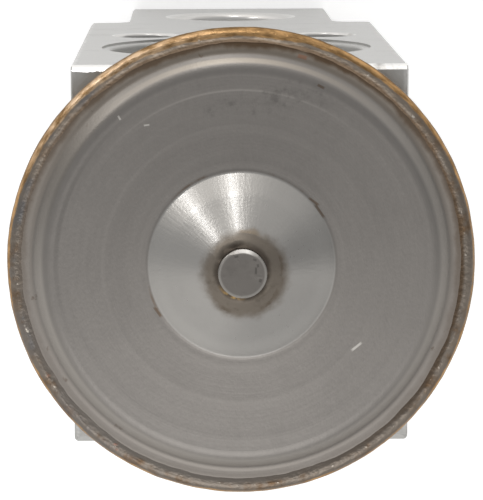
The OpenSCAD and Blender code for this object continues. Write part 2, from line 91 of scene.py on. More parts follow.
class ValveSizes(bpy.types.PropertyGroup):
    """Sizes of the fine forms that the scene adds, in millimetres unless named otherwise"""

    dome_foot: bpy.props.FloatProperty(
        name="Dome foot radius", description="Radius where the dome leaves the plateau", default=8.2
    )
    dome_flat: bpy.props.FloatProperty(
        name="Dome flat radius", description="Radius of the dome's flat top", default=2.5
    )
    dome_rise: bpy.props.FloatProperty(
        name="Dome rise", description="Height of the dome over the plateau", default=4.3
    )
    dome_break: bpy.props.FloatProperty(
        name="Dome break radius", description="Radius where the dome's side grows steeper", default=6.45
    )
    dome_lean: bpy.props.FloatProperty(
        name="Dome lean", description="Slope of the dome's upper side", default=math.radians(37.2),
        subtype="ANGLE", unit="ROTATION"
    )
    dome_foot_lean: bpy.props.FloatProperty(
        name="Dome foot lean", description="Slope of the dome's side below its break",
        default=math.radians(40.6), subtype="ANGLE", unit="ROTATION"
    )
    plateau: bpy.props.FloatProperty(
        name="Plateau radius", description="Outer radius of the raised plateau", default=16.55
    )
    plateau_fall: bpy.props.FloatProperty(
        name="Plateau fall", description="Drop of the plateau from the dome to its edge", default=0.45
    )
    plateau_edge: bpy.props.FloatProperty(
        name="Plateau edge", description="Rounding of the plateau's edge", default=1.7
    )
    sheet: bpy.props.FloatProperty(
        name="Sheet thickness", description="Thickness of the pressed cover", default=0.8
    )
    press_ring: bpy.props.FloatProperty(
        name="Press ring height", description="Height of the faint rings left by the press", default=0.010
    )
    bead_lump: bpy.props.FloatProperty(
        name="Bead lumps", description="Height of the uneven lumps on the weld bead", default=0.04
    )
    bead_wave: bpy.props.FloatProperty(
        name="Bead wave", description="Wander of the bead's inner border", default=0.15
    )
    stud_pitch: bpy.props.FloatProperty(
        name="Stud thread pitch", description="Pitch of the tapped hole's thread", default=1.0
    )
    screw_pitch: bpy.props.FloatProperty(
        name="Screw thread pitch", description="Pitch of the adjusting screw's thread", default=1.0
    )
    socket_flats: bpy.props.FloatProperty(
        name="Key socket", description="Width across the flats of the key socket", default=6.0
    )


class ValveFinish(bpy.types.PropertyGroup):
    """Colours of the valve's finishes"""

    steel: bpy.props.FloatVectorProperty(
        name="Cover steel", description="Pressed stainless cover",
        subtype="COLOR", size=3, min=0, max=1, default=(0.228, 0.214, 0.200)
    )
    bright_steel: bpy.props.FloatVectorProperty(
        name="Rubbed steel", description="Steel rubbed bright by the press, on the dome and the plateau's edge",
        subtype="COLOR", size=3, min=0, max=1, default=(0.345, 0.333, 0.315)
    )
    heat_brown: bpy.props.FloatVectorProperty(
        name="Heat brown", description="Brown heat tint beside the weld and the plug",
        subtype="COLOR", size=3, min=0, max=1, default=(0.125, 0.082, 0.050)
    )
    heat_gold: bpy.props.FloatVectorProperty(
        name="Heat gold", description="Gold heat tint on the weld bead",
        subtype="COLOR", size=3, min=0, max=1, default=(0.36, 0.215, 0.095)
    )
    aluminium: bpy.props.FloatVectorProperty(
        name="Block aluminium", description="Machined aluminium of the block",
        subtype="COLOR", size=3, min=0, max=1, default=(0.43, 0.425, 0.41)
    )
    plug: bpy.props.FloatVectorProperty(
        name="Plug steel", description="Grey steel of the charge plug",
        subtype="COLOR", size=3, min=0, max=1, default=(0.170, 0.158, 0.146)
    )
    brass: bpy.props.FloatVectorProperty(
        name="Brass", description="Brass of the adjusting screw",
        subtype="COLOR", size=3, min=0, max=1, default=(0.62, 0.44, 0.20)
    )
    rubber: bpy.props.FloatVectorProperty(
        name="Seal rubber", description="Black rubber of the sealing rings",
        subtype="COLOR", size=3, min=0, max=1, default=(0.022, 0.022, 0.024)
    )


# Mesh building

def revolve(name, profile, turns, shape=None):
    """Closed solid of revolution about Z from a closed (radius, height) line in mm.

    shape(radius, height, angle, index) gives each point's own radius and height.
    """
    bm = bmesh.new()
    rings = []
    for index, (radius, height) in enumerate(profile):
        if radius < 1e-6:
            rings.append([bm.verts.new((0, 0, height * MM))])
            continue
        ring = []
        for step in range(turns):
            angle = 2 * math.pi * step / turns
            r, z = shape(radius, height, angle, index) if shape else (radius, height)
            ring.append(bm.verts.new((r * math.cos(angle) * MM, r * math.sin(angle) * MM, z * MM)))
        rings.append(ring)
    pairs = list(zip(rings, rings[1:] + rings[:1]))
    for low, high in pairs:
        if len(low) == 1 and len(high) == 1:
            continue
        for step in range(turns):
            nxt = (step + 1) % turns
            if len(low) == 1:
                bm.faces.new((low[0], high[nxt], high[step]))
            elif len(high) == 1:
                bm.faces.new((low[step], low[nxt], high[0]))
            else:
                bm.faces.new((low[step], low[nxt], high[nxt], high[step]))
    return as_object(name, bm)


def as_object(name, bm, smooth_angle=35.0):
    """Turns a bmesh into a linked object with smooth faces and sharp edges."""
    bmesh.ops.recalc_face_normals(bm, faces=bm.faces)
    mesh = bpy.data.meshes.new(name)
    limit = math.radians(smooth_angle)
    for face in bm.faces:
        face.smooth = True
    for edge in bm.edges:
        edge.smooth = len(edge.link_faces) == 2 and edge.calc_face_angle(0) < limit
    bm.to_mesh(mesh)
    bm.free()
    obj = bpy.data.objects.new(name, mesh)
    bpy.context.scene.collection.objects.link(obj)
    return obj


def arc(cx, cz, rx, rz, start, end, count):
    """Points of an elliptic arc, angles in degrees."""
    points = []
    for i in range(count + 1):
        a = math.radians(start + (end - start) * i / count)
        points.append((cx + rx * math.cos(a), cz + rz * math.sin(a)))
    return points


def split_line(points, spacing):
    """Adds points so that no stretch of the line is longer than spacing."""
    out = [points[0]]
    for (r0, z0), (r1, z1) in zip(points, points[1:]):
        count = max(1, math.ceil(math.hypot(r1 - r0, z1 - z0) / spacing))
        for i in range(1, count + 1):
            out.append((r0 + (r1 - r0) * i / count, z0 + (z1 - z0) * i / count))
    return out


def thread_ridge(name, radius, pitch, turns, depth, axis_y, height_z, start_y, side):
    """Helical ridge inside a tapped hole whose axis runs along Y."""
    bm = bmesh.new()
    per_turn = 40
    rows = []
    count = int(turns * per_turn)
    for i in range(count + 1):
        angle = 2 * math.pi * i / per_turn
        along = pitch * i / per_turn
        fade = min(1.0, i / 20, (count - i) / 20)
        section = [(radius + 0.03, -0.42 * pitch), (radius - depth * fade, -0.06 * pitch),
                   (radius - depth * fade, 0.06 * pitch), (radius + 0.03, 0.42 * pitch)]
        row = []
        for r, offset in section:
            y = start_y - side * (along + offset)
            row.append(bm.verts.new((
                (axis_y + r * math.cos(angle)) * MM, y * MM, (height_z + r * math.sin(angle)) * MM)))
        rows.append(row)
    for a, b in zip(rows, rows[1:]):
        for k in range(4):
            n = (k + 1) % 4
            bm.faces.new((a[k], a[n], b[n], b[k]))
    bm.faces.new(rows[0])
    bm.faces.new(list(reversed(rows[-1])))
    return as_object(name, bm)


def hexagon(flats, count):
    """Points of a hexagon with the given width across flats, as radius by angle."""
    points = []
    for i in range(count):
        angle = 2 * math.pi * i / count
        local = (angle + math.pi / 6) % (math.pi / 3) - math.pi / 6
        points.append(flats / 2 / math.cos(math.pi / 6 - abs(local)))
    return points


# Material building

class Graph:
    """Short calls that add nodes to one tree and link them."""

    def __init__(self, tree):
        self.tree = tree

    def add(self, kind, values=None, **settings):
        item = self.tree.nodes.new(kind)
        for key, value in settings.items():
            setattr(item, key, value)
        for key, value in (values or {}).items():
            self.put(value, item.inputs[key])
        return item

    def put(self, value, socket):
        if isinstance(value, bpy.types.NodeSocket):
            self.tree.links.new(value, socket)
        else:
            socket.default_value = value

    def math(self, operation, a, b=0.0, c=0.0, clamp=False):
        item = self.add("ShaderNodeMath", {0: a, 1: b, 2: c}, operation=operation, use_clamp=clamp)
        return item.outputs[0]

    def blend(self, mask, a, b, mode="MIX"):
        item = self.add("ShaderNodeMix", data_type="RGBA", blend_type=mode)
        self.put(mask, item.inputs[0])
        self.put(a, item.inputs[6])
        self.put(b, item.inputs[7])
        return item.outputs[2]

    def lerp(self, mask, a, b):
        item = self.add("ShaderNodeMix", data_type="FLOAT")
        self.put(mask, item.inputs[0])
        self.put(a, item.inputs[2])
        self.put(b, item.inputs[3])
        return item.outputs[0]

    def step(self, value, low, high):
        item = self.add("ShaderNodeMapRange", {0: value, 1: low, 2: high, 3: 0.0, 4: 1.0},
                        interpolation_type="SMOOTHSTEP")
        return item.outputs[0]

    def place(self, group, values=None):
        item = self.add("ShaderNodeGroup", node_tree=group)
        for key, value in (values or {}).items():
            self.put(value, item.inputs[key])
        return item


def new_group(name, inputs, outputs):
    """Empty shader group with float or vector sockets; returns it with its two end nodes."""
    group = bpy.data.node_groups.new(name, "ShaderNodeTree")
    for label, kind, default in inputs:
        socket = group.interface.new_socket(label, in_out="INPUT", socket_type=kind)
        socket.default_value = default
    for label in outputs:
        group.interface.new_socket(label, in_out="OUTPUT", socket_type="NodeSocketFloat")
    graph = Graph(group)
    start = graph.add("NodeGroupInput")
    end = graph.add("NodeGroupOutput")
    return group, graph, start.outputs, end.inputs


FLOAT = "NodeSocketFloat"
VECTOR = "NodeSocketVector"


def effect(name, build):
    """The named group, built on first use."""
    return bpy.data.node_groups.get(name) or build(name)


def build_polar(name):
    """Radius and height in mm and the turn from 0 to 1 about the valve axis."""
    group, g, _, out = new_group(name, [], ["Radius", "Turn", "Height"])
    place = g.add("ShaderNodeTexCoord").outputs["Object"]
    parts = g.add("ShaderNodeSeparateXYZ", {0: place}).outputs
    across = g.math("ADD", g.math("MULTIPLY", parts[0], parts[0]), g.math("MULTIPLY", parts[1], parts[1]))
    g.put(g.math("MULTIPLY", g.math("SQRT", across), 1000.0), out["Radius"])
    angle = g.math("ARCTAN2", parts[1], parts[0])
    g.put(g.math("FRACT", g.math("DIVIDE", angle, 2 * math.pi)), out["Turn"])
    g.put(g.math("MULTIPLY", parts[2], 1000.0), out["Height"])
    return group


def build_band(name):
    """Mask that is 1 within Half of Centre and fades over Soft."""
    group, g, start, out = new_group(name, [
        ("Value", FLOAT, 0.0), ("Centre", FLOAT, 0.0), ("Half", FLOAT, 0.1), ("Soft", FLOAT, 0.1)], ["Mask"])
    away = g.math("ABSOLUTE", g.math("SUBTRACT", start["Value"], start["Centre"]))
    edge = g.math("SUBTRACT", away, start["Half"])
    g.put(g.math("SUBTRACT", 1.0, g.step(edge, 0.0, start["Soft"])), out["Mask"])
    return group


def build_turn_window(name):
    """Mask round the angle Centre, both as turns, that fades to nothing at Reach."""
    group, g, start, out = new_group(name, [
        ("Turn", FLOAT, 0.0), ("Centre", FLOAT, 0.25), ("Reach", FLOAT, 0.25)], ["Mask"])
    away = g.math("SUBTRACT", start["Turn"], start["Centre"])
    wrapped = g.math("SUBTRACT", g.math("FRACT", g.math("ADD", away, 0.5)), 0.5)
    share = g.math("DIVIDE", g.math("ABSOLUTE", wrapped), start["Reach"])
    g.put(g.math("SUBTRACT", 1.0, g.step(share, 0.0, 1.0)), out["Mask"])
    return group


def build_clouds(name):
    """Uneven patches: Amount sets how much is covered, Shift moves the pattern."""
    group, g, start, out = new_group(name, [
        ("Scale", FLOAT, 200.0), ("Amount", FLOAT, 0.5), ("Soft", FLOAT, 0.1), ("Shift", FLOAT, 0.0)], ["Mask"])
    place = g.add("ShaderNodeTexCoord").outputs["Object"]
    item = g.add("ShaderNodeTexNoise", {
        "Vector": place, "W": start["Shift"], "Scale": start["Scale"], "Detail": 5.0, "Roughness": 0.6},
        noise_dimensions="4D")
    level = g.math("SUBTRACT", 1.0, start["Amount"])
    top = g.math("ADD", level, start["Soft"])
    g.put(g.step(item.outputs[0], level, top), out["Mask"])
    return group


def build_grain(name):
    """Fine streaks: Stretch gives the number of streaks per metre along each axis."""
    group, g, start, out = new_group(name, [
        ("Stretch", VECTOR, (4000.0, 4000.0, 200.0)), ("Detail", FLOAT, 3.0)], ["Mask"])
    place = g.add("ShaderNodeTexCoord").outputs["Object"]
    spread = g.add("ShaderNodeVectorMath", {0: place, 1: start["Stretch"]}, operation="MULTIPLY")
    item = g.add("ShaderNodeTexNoise", {
        "Vector": spread.outputs[0], "Scale": 1.0, "Detail": start["Detail"], "Roughness": 0.55})
    g.put(g.step(item.outputs[0], 0.25, 0.75), out["Mask"])
    return group


def build_turned(name):
    """Fine concentric lines of a turned or spun surface, broken up round the turn."""
    group, g, start, out = new_group(name, [("Lines", FLOAT, 9.0)], ["Mask"])
    polar = g.place(effect("Polar", build_polar))
    around = g.add("ShaderNodeCombineXYZ", {
        0: g.math("MULTIPLY", polar.outputs["Radius"], start["Lines"]),
        1: g.math("MULTIPLY", g.math("SINE", g.math("MULTIPLY", polar.outputs["Turn"], 2 * math.pi)), 1.6),
        2: g.math("MULTIPLY", polar.outputs["Height"], start["Lines"])})
    item = g.add("ShaderNodeTexNoise", {
        "Vector": around.outputs[0], "Scale": 1.0, "Detail": 3.0, "Roughness": 0.6})
    g.put(g.step(item.outputs[0], 0.3, 0.7), out["Mask"])
    return group


def build_mark(name):
    """Short straight mark from a point in mm, along an angle in degrees, seen from +Z."""
    group, g, start, out = new_group(name, [
        ("X", FLOAT, 0.0), ("Y", FLOAT, 0.0), ("Angle", FLOAT, 0.0), ("Length", FLOAT, 1.0),
        ("Width", FLOAT, 0.1)], ["Mask"])
    place = g.add("ShaderNodeTexCoord").outputs["Object"]
    parts = g.add("ShaderNodeSeparateXYZ", {0: place}).outputs
    dx = g.math("SUBTRACT", g.math("MULTIPLY", parts[0], 1000.0), start["X"])
    dy = g.math("SUBTRACT", g.math("MULTIPLY", parts[1], 1000.0), start["Y"])
    angle = g.math("RADIANS", start["Angle"])
    c, s = g.math("COSINE", angle), g.math("SINE", angle)
    along = g.math("ADD", g.math("MULTIPLY", dx, c), g.math("MULTIPLY", dy, s))
    across = g.math("SUBTRACT", g.math("MULTIPLY", dy, c), g.math("MULTIPLY", dx, s))
    half = g.math("MULTIPLY", start["Length"], 0.5)
    end = g.math("DIVIDE", g.math("ABSOLUTE", g.math("SUBTRACT", along, half)), half)
    side = g.math("DIVIDE", g.math("ABSOLUTE", across), start["Width"])
    far = g.math("MAXIMUM", end, side)
    g.put(g.math("SUBTRACT", 1.0, g.step(far, 0.55, 1.0)), out["Mask"])
    return group


def build_box_edge(name):
    """Mask near the upper block's upright and top edges, in mm from its faces."""
    group, g, start, out = new_group(name, [("Reach", FLOAT, 0.8)], ["Mask"])
    place = g.add("ShaderNodeTexCoord").outputs["Object"]
    parts = g.add("ShaderNodeSeparateXYZ", {0: place}).outputs
    inside = []
    for part, size in ((parts[0], BLOCK_HALF_W), (parts[1], BLOCK_HALF_D)):
        inside.append(g.math("SUBTRACT", size, g.math("MULTIPLY", g.math("ABSOLUTE", part), 1000.0)))
    inside.append(g.math("SUBTRACT", BLOCK_TOP, g.math("MULTIPLY", parts[2], 1000.0)))
    low = g.math("MINIMUM", inside[0], g.math("MINIMUM", inside[1], inside[2]))
    high = g.math("MAXIMUM", inside[0], g.math("MAXIMUM", inside[1], inside[2]))
    total = g.math("ADD", inside[0], g.math("ADD", inside[1], inside[2]))
    middle = g.math("SUBTRACT", total, g.math("ADD", low, high))
    g.put(g.math("SUBTRACT", 1.0, g.step(g.math("ADD", low, middle), 0.3, start["Reach"])), out["Mask"])
    return group


def polar_of(g):
    return g.place(effect("Polar", build_polar)).outputs


def band(g, value, centre, half, soft):
    return g.place(effect("Band", build_band), {
        "Value": value, "Centre": centre, "Half": half, "Soft": soft}).outputs["Mask"]


def turn_window(g, turn, centre, reach):
    return g.place(effect("Turn window", build_turn_window), {
        "Turn": turn, "Centre": centre, "Reach": reach}).outputs["Mask"]


def clouds(g, scale, amount, soft, shift):
    return g.place(effect("Stain clouds", build_clouds), {
        "Scale": scale, "Amount": amount, "Soft": soft, "Shift": shift}).outputs["Mask"]


def grain(g, stretch, detail=3.0):
    return g.place(effect("Grain", build_grain), {"Stretch": stretch, "Detail": detail}).outputs["Mask"]


def turned(g, lines):
    return g.place(effect("Turned lines", build_turned), {"Lines": lines}).outputs["Mask"]


def mark(g, x, y, angle, length, width):
    return g.place(effect("Mark", build_mark), {
        "X": x, "Y": y, "Angle": angle, "Length": length, "Width": width}).outputs["Mask"]


def bead_edge(angle):
    """Outer radius of the weld bead in mm, which isn't quite round."""
    return RIM_R - BEAD_SHRINK - BEAD_OVAL * math.cos(2 * angle) - BEAD_LEAN * math.sin(angle)


def build_bead_depth(name):
    """Distance in mm from the weld bead's outer edge inwards."""
    group, g, _, out = new_group(name, [], ["Depth", "Turn"])
    polar = g.place(effect("Polar", build_polar)).outputs
    angle = g.math("MULTIPLY", polar["Turn"], 2 * math.pi)
    oval = g.math("MULTIPLY", g.math("COSINE", g.math("MULTIPLY", angle, 2.0)), BEAD_OVAL)
    lean = g.math("MULTIPLY", g.math("SINE", angle), BEAD_LEAN)
    edge = g.math("SUBTRACT", RIM_R - BEAD_SHRINK, g.math("ADD", oval, lean))
    g.put(g.math("SUBTRACT", edge, polar["Radius"]), out["Depth"])
    g.put(polar["Turn"], out["Turn"])
    return group


def build_streaks(name):
    """Fine streaks that run up and down a cone: Count sets how many, Length how long."""
    group, g, start, out = new_group(name, [("Count", FLOAT, 30.0), ("Length", FLOAT, 0.6)], ["Mask"])
    polar = g.place(effect("Polar", build_polar)).outputs
    angle = g.math("MULTIPLY", polar["Turn"], 2 * math.pi)
    around = g.add("ShaderNodeCombineXYZ", {
        0: g.math("MULTIPLY", g.math("COSINE", angle), start["Count"]),
        1: g.math("MULTIPLY", g.math("SINE", angle), start["Count"]),
        2: g.math("MULTIPLY", polar["Radius"], start["Length"])})
    item = g.add("ShaderNodeTexNoise", {
        "Vector": around.outputs[0], "Scale": 1.0, "Detail": 3.0, "Roughness": 0.6})
    g.put(g.step(item.outputs[0], 0.3, 0.7), out["Mask"])
    return group


def build_hole_mouth(name):
    """Mask on the rounded mouth of a hole in a port face; all sizes in mm."""
    group, g, start, out = new_group(name, [
        ("X", FLOAT, 0.0), ("Z", FLOAT, 0.0), ("Radius", FLOAT, 3.0), ("Reach", FLOAT, 0.9)], ["Mask"])
    place = g.add("ShaderNodeTexCoord").outputs["Object"]
    parts = g.add("ShaderNodeSeparateXYZ", {0: place}).outputs
    dx = g.math("SUBTRACT", g.math("MULTIPLY", parts[0], 1000.0), start["X"])
    dz = g.math("SUBTRACT", g.math("MULTIPLY", parts[2], 1000.0), start["Z"])
    far = g.math("SQRT", g.math("ADD", g.math("MULTIPLY", dx, dx), g.math("MULTIPLY", dz, dz)))
    out_by = g.math("DIVIDE", g.math("SUBTRACT", far, start["Radius"]), start["Reach"])
    g.put(g.math("SUBTRACT", 1.0, g.step(out_by, 0.75, 1.2)), out["Mask"])
    return group


def streaks(g, count, length):
    return g.place(effect("Cone streaks", build_streaks), {"Count": count, "Length": length}).outputs["Mask"]


def hole_mouth(g, x, z, radius, reach):
    return g.place(effect("Hole mouth", build_hole_mouth), {
        "X": x, "Z": z, "Radius": radius, "Reach": reach}).outputs["Mask"]


def wander(g, value, scale, size, shift):
    """The value moved to and fro by up to about size, in patches."""
    patch = clouds(g, scale, 0.75, 0.5, shift)
    return g.math("ADD", value, g.math("MULTIPLY", g.math("SUBTRACT", patch, 0.5), size))


def port_holes():
    """Each hole in the port faces as its x, height, radius and side, in mm."""
    found = []
    for item in frame["record"]["mounts"]:
        dims = item["dims"]
        radius = dims.get("r_mm") or dims.get("hole_r_mm")
        if not radius:
            continue
        x, y, z = (value / MM for value in item["pos_m"])
        spread = dims.get("spacing_x_mm", 0.0) / 2
        for shift in sorted({-spread, spread}):
            found.append((x + shift, z, radius, item["axis"][1]))
            if item["kind"] == "bolt_pattern":
                found.append((x + shift, z, radius, -item["axis"][1]))
    return found


def dome_line(sizes, count):
    """Dome's side from its flat top down to its foot, as radius and height in mm."""
    span = sizes.dome_foot - sizes.dome_flat
    drops, drop = [0.0], 0.0
    for i in range(count):
        radius = sizes.dome_flat + span * (i + 0.5) / count
        steep = min(1.0, max(0.0, (radius - sizes.dome_break) / 0.7 + 0.5))
        steep = steep * steep * (3 - 2 * steep)
        lean = sizes.dome_lean + (sizes.dome_foot_lean - sizes.dome_lean) * steep
        lean *= min(1.0, (radius - sizes.dome_flat) / 0.4)
        drop += math.tan(lean) * span / count
        drops.append(drop)
    return [(sizes.dome_flat + span * i / count, DOME_TOP - sizes.dome_rise * drops[i] / drop)
            for i in range(count + 1)]


def rgba(colour, factor=1.0):
    return (colour[0] * factor, colour[1] * factor, colour[2] * factor, 1.0)


def new_material(name, roughness, metallic=1.0, specular=0.5):
    """Material with one Principled shader; returns it with its graph and shader."""
    material = bpy.data.materials.new(name)
    material.use_nodes = True
    material.node_tree.nodes.clear()
    g = Graph(material.node_tree)
    shader = g.add("ShaderNodeBsdfPrincipled", {
        "Roughness": roughness, "Metallic": metallic, "Specular IOR Level": specular})
    g.add("ShaderNodeOutputMaterial", {"Surface": shader.outputs[0]})
    return material, g, shader.inputs


def relief(g, height, strength, distance):
    """Bump normal from a height mask; distance in metres."""
    return g.add("ShaderNodeBump", {
        "Height": height, "Strength": strength, "Distance": distance}).outputs[0]


def scale_mask(g, mask, factor):
    return g.math("MULTIPLY", mask, factor)


def build_halo(name):
    """Scorched patch round the plug, a little off centre: its mask and its own radius in mm."""
    group, g, start, out = new_group(name, [("Reach", FLOAT, 3.7)], ["Mask", "Radius"])
    polar = g.place(effect("Polar", build_polar)).outputs
    turn = g.math("MULTIPLY", g.math("SUBTRACT", polar["Turn"], 0.83), 2 * math.pi)
    shifted = g.math("SUBTRACT", polar["Radius"], g.math("MULTIPLY", g.math("COSINE", turn), 0.40))
    ragged = wander(g, wander(g, shifted, 260.0, 0.6, 6.0), 1100.0, 0.35, 7.0)
    past = g.math("SUBTRACT", ragged, start["Reach"])
    g.put(g.math("SUBTRACT", 1.0, g.step(past, -0.5, 0.6)), out["Mask"])
    g.put(ragged, out["Radius"])
    return group


def halo_of(g):
    return g.place(effect("Scorch halo", build_halo)).outputs


def scorched(g):
    """Colour of the oxidised steel and brazing round the plug."""
    patch = clouds(g, 700.0, 0.50, 0.3, 33.0)
    return g.blend(patch, (0.178, 0.152, 0.124, 1.0), (0.098, 0.080, 0.062, 1.0))


def cover_steel(finish):
    """Pressed stainless sheet: satin, with press rings, heat tint, stains and scratches, and with painted highlights
    and painted shade on the press rings, the step and the dome's foot.
    """
    material, g, shader = new_material("Pressed cover steel", 0.4)
    polar = polar_of(g)
    radius, turn = polar["Radius"], polar["Turn"]
    steel, bright, brown = finish.steel, finish.bright_steel, finish.heat_brown

    colour = g.blend(clouds(g, 130.0, 0.60, 0.35, 1.0), rgba(steel), rgba(steel, 0.92))
    colour = g.blend(scale_mask(g, grain(g, (2400.0, 700.0, 2400.0)), 0.35), colour, rgba(steel, 1.10))
    colour = g.blend(scale_mask(g, turned(g, 3.0), 0.22), colour, rgba(steel, 1.14))
    # Painted highlight and painted shade along the press rings: each ring is lighter or darker only on one side of the
    # turn.
    for centre, half, soft, where, reach, weight, tone in (
            (15.25, 0.03, 0.10, 0.26, 0.15, 0.50, 1.55), (16.25, 0.05, 0.28, 0.46, 0.14, 0.55, 0.72),
            (12.15, 0.03, 0.22, 0.36, 0.30, 0.30, 1.30), (11.1, 0.50, 0.80, 0.42, 0.22, 0.25, 0.80),
            (9.0, 0.05, 0.30, 0.80, 0.45, 0.30, 1.20)):
        ring = g.math("MULTIPLY", band(g, radius, centre, half, soft), turn_window(g, turn, where, reach))
        colour = g.blend(scale_mask(g, ring, weight), colour, rgba(steel, tone))

    stain = g.math("MULTIPLY", clouds(g, 480.0, 0.52, 0.14, 3.0), turn_window(g, turn, 0.235, 0.12))
    stain = g.math("MULTIPLY", stain, clouds(g, 1500.0, 0.62, 0.35, 29.0))
    stain = g.math("MULTIPLY", stain, band(g, radius, 15.0, 1.4, 1.0))
    colour = g.blend(scale_mask(g, stain, 0.60), colour, rgba(steel, 0.45))

    # Lighter band on the plateau's edge: partly wear, partly painted highlight on the step, kept weaker on the north
    # side.
    ease = g.math("SUBTRACT", 0.8, scale_mask(g, turn_window(g, turn, 0.25, 0.16), 0.55))
    wear_and_sheen = g.math("MULTIPLY", band(g, radius, 17.85, 0.20, 0.40), ease)
    colour = g.blend(wear_and_sheen, colour, (0.345, 0.322, 0.296, 1.0))
    # Painted shade on the step at the north-west, which narrows the step's light ring there.
    dull = g.math("MULTIPLY", band(g, radius, 17.9, 0.45, 0.4), turn_window(g, turn, 0.40, 0.12))
    colour = g.blend(scale_mask(g, dull, 0.9), colour, (0.20, 0.184, 0.165, 1.0))
    # Painted highlight on the step at the north.
    painted_step_highlight = g.math("MULTIPLY", band(g, radius, 17.8, 0.08, 0.22), turn_window(g, turn, 0.25, 0.14))
    colour = g.blend(scale_mask(g, painted_step_highlight, 0.8), colour, (0.44, 0.395, 0.34, 1.0))
    flange = g.step(radius, 18.2, 18.5)
    # The flange is browner and darker on its north side: heat tint and painted shade.
    north = turn_window(g, turn, 0.24, 0.34)
    flange_tint_and_shade = g.blend(north, (0.285, 0.262, 0.240, 1.0), (0.218, 0.190, 0.159, 1.0))
    colour = g.blend(flange, colour, flange_tint_and_shade)

    # Brown beside the weld, strong on the north side only: heat tint and painted shade in the groove by the bead.
    reach = wander(g, radius, 260.0, 0.55, 5.0)
    far_side = g.math("SUBTRACT", 1.0, turn_window(g, turn, 0.22, 0.40))
    weak = g.math("SUBTRACT", 1.0, scale_mask(g, far_side, 0.88))
    weld_tint_and_shade = g.math("MULTIPLY", g.step(reach, 18.65, 19.2), weak)
    colour = g.blend(scale_mask(g, weld_tint_and_shade, 0.95), colour, rgba(brown, 0.75))
    spots = g.math("MULTIPLY", clouds(g, 800.0, 0.36, 0.06, 8.0), g.step(radius, 17.6, 18.6))
    colour = g.blend(scale_mask(g, spots, 0.45), colour, rgba(brown, 0.8))

    dome = g.math("SUBTRACT", 1.0, g.step(radius, 8.1, 8.3))
    dome_tone = g.blend(clouds(g, 200.0, 0.55, 0.4, 14.0), rgba(bright), rgba(bright, 0.90))
    # Painted highlight: the dome's steep lower side is lighter at the south.
    rubbed = g.math("MULTIPLY", band(g, radius, 8.0, 0.3, 1.4), turn_window(g, turn, 0.75, 0.36))
    dome_tone = g.blend(scale_mask(g, rubbed, 0.85), dome_tone, rgba(bright, 1.2))
    colour = g.blend(dome, colour, dome_tone)
    # Painted shade in the crease at the dome's foot, in brown and broken into patches.
    foot = g.math("MULTIPLY", band(g, radius, 8.36, 0.02, 0.14), clouds(g, 330.0, 0.44, 0.12, 5.0))
    colour = g.blend(scale_mask(g, foot, 0.55), colour, rgba(brown, 1.1))

    patch = halo_of(g)
    halo, halo_r = patch["Mask"], patch["Radius"]
    colour = g.blend(scale_mask(g, halo, 0.92), colour, scorched(g))
    tan = g.math("MULTIPLY", band(g, halo_r, 3.55, 0.10, 0.35), turn_window(g, turn, 0.215, 0.08))
    colour = g.blend(scale_mask(g, tan, 0.7), colour, (0.29, 0.235, 0.175, 1.0))
    scorch = g.math("MULTIPLY", band(g, halo_r, 3.15, 0.08, 0.25), clouds(g, 700.0, 0.55, 0.3, 35.0))
    colour = g.blend(scale_mask(g, scorch, 0.6), colour, rgba(brown, 0.62))
    rust = mark(g, 4.9, 18.15, -16.0, 1.0, 0.22)
    colour = g.blend(scale_mask(g, rust, 0.6), colour, (0.26, 0.12, 0.07, 1.0))

    light = [mark(g, 9.55, -7.75, 38.0, 1.3, 0.13), mark(g, -8.5, 12.2, 8.0, 0.6, 0.09),
             mark(g, -10.7, 13.1, -60.0, 0.5, 0.1)]
    dark = [mark(g, 6.6, 15.7, -28.0, 0.8, 0.14), mark(g, 5.79, 5.91, -37.0, 1.31, 0.13),
            mark(g, 6.31, 5.39, -55.4, 1.71, 0.15), mark(g, -7.74, -3.61, -54.7, 1.26, 0.15)]
    for item in light:
        colour = g.blend(scale_mask(g, item, 0.7), colour, (0.6, 0.58, 0.54, 1.0))
    for item in dark:
        colour = g.blend(scale_mask(g, item, 0.65), colour, rgba(brown, 0.9))
    g.put(colour, shader["Base Color"])

    rough = g.lerp(clouds(g, 300.0, 0.5, 0.3, 2.0), 0.40, 0.46)
    rough = g.lerp(flange, rough, 0.50)
    burnish = g.math("MULTIPLY", clouds(g, 2400.0, 0.50, 0.35, 15.0), clouds(g, 380.0, 0.62, 0.4, 16.0))
    dome_rough = g.lerp(burnish, 0.31, 0.15)
    rough = g.lerp(dome, rough, dome_rough)
    g.put(g.math("ADD", rough, scale_mask(g, halo, 0.16)), shader["Roughness"])
    g.put(g.math("MULTIPLY", dome, g.math("SUBTRACT", 1.0, halo)), shader["Coat Weight"])
    shader["Coat Roughness"].default_value = 0.17
    height = g.math("ADD", scale_mask(g, turned(g, 7.0), 0.35), grain(g, (5200.0, 2600.0, 5200.0)))
    height = g.math("ADD", height, g.math("MULTIPLY", dome, streaks(g, 22.0, 0.7)))
    g.put(relief(g, height, 0.12, 0.00004), shader["Normal"])
    return material


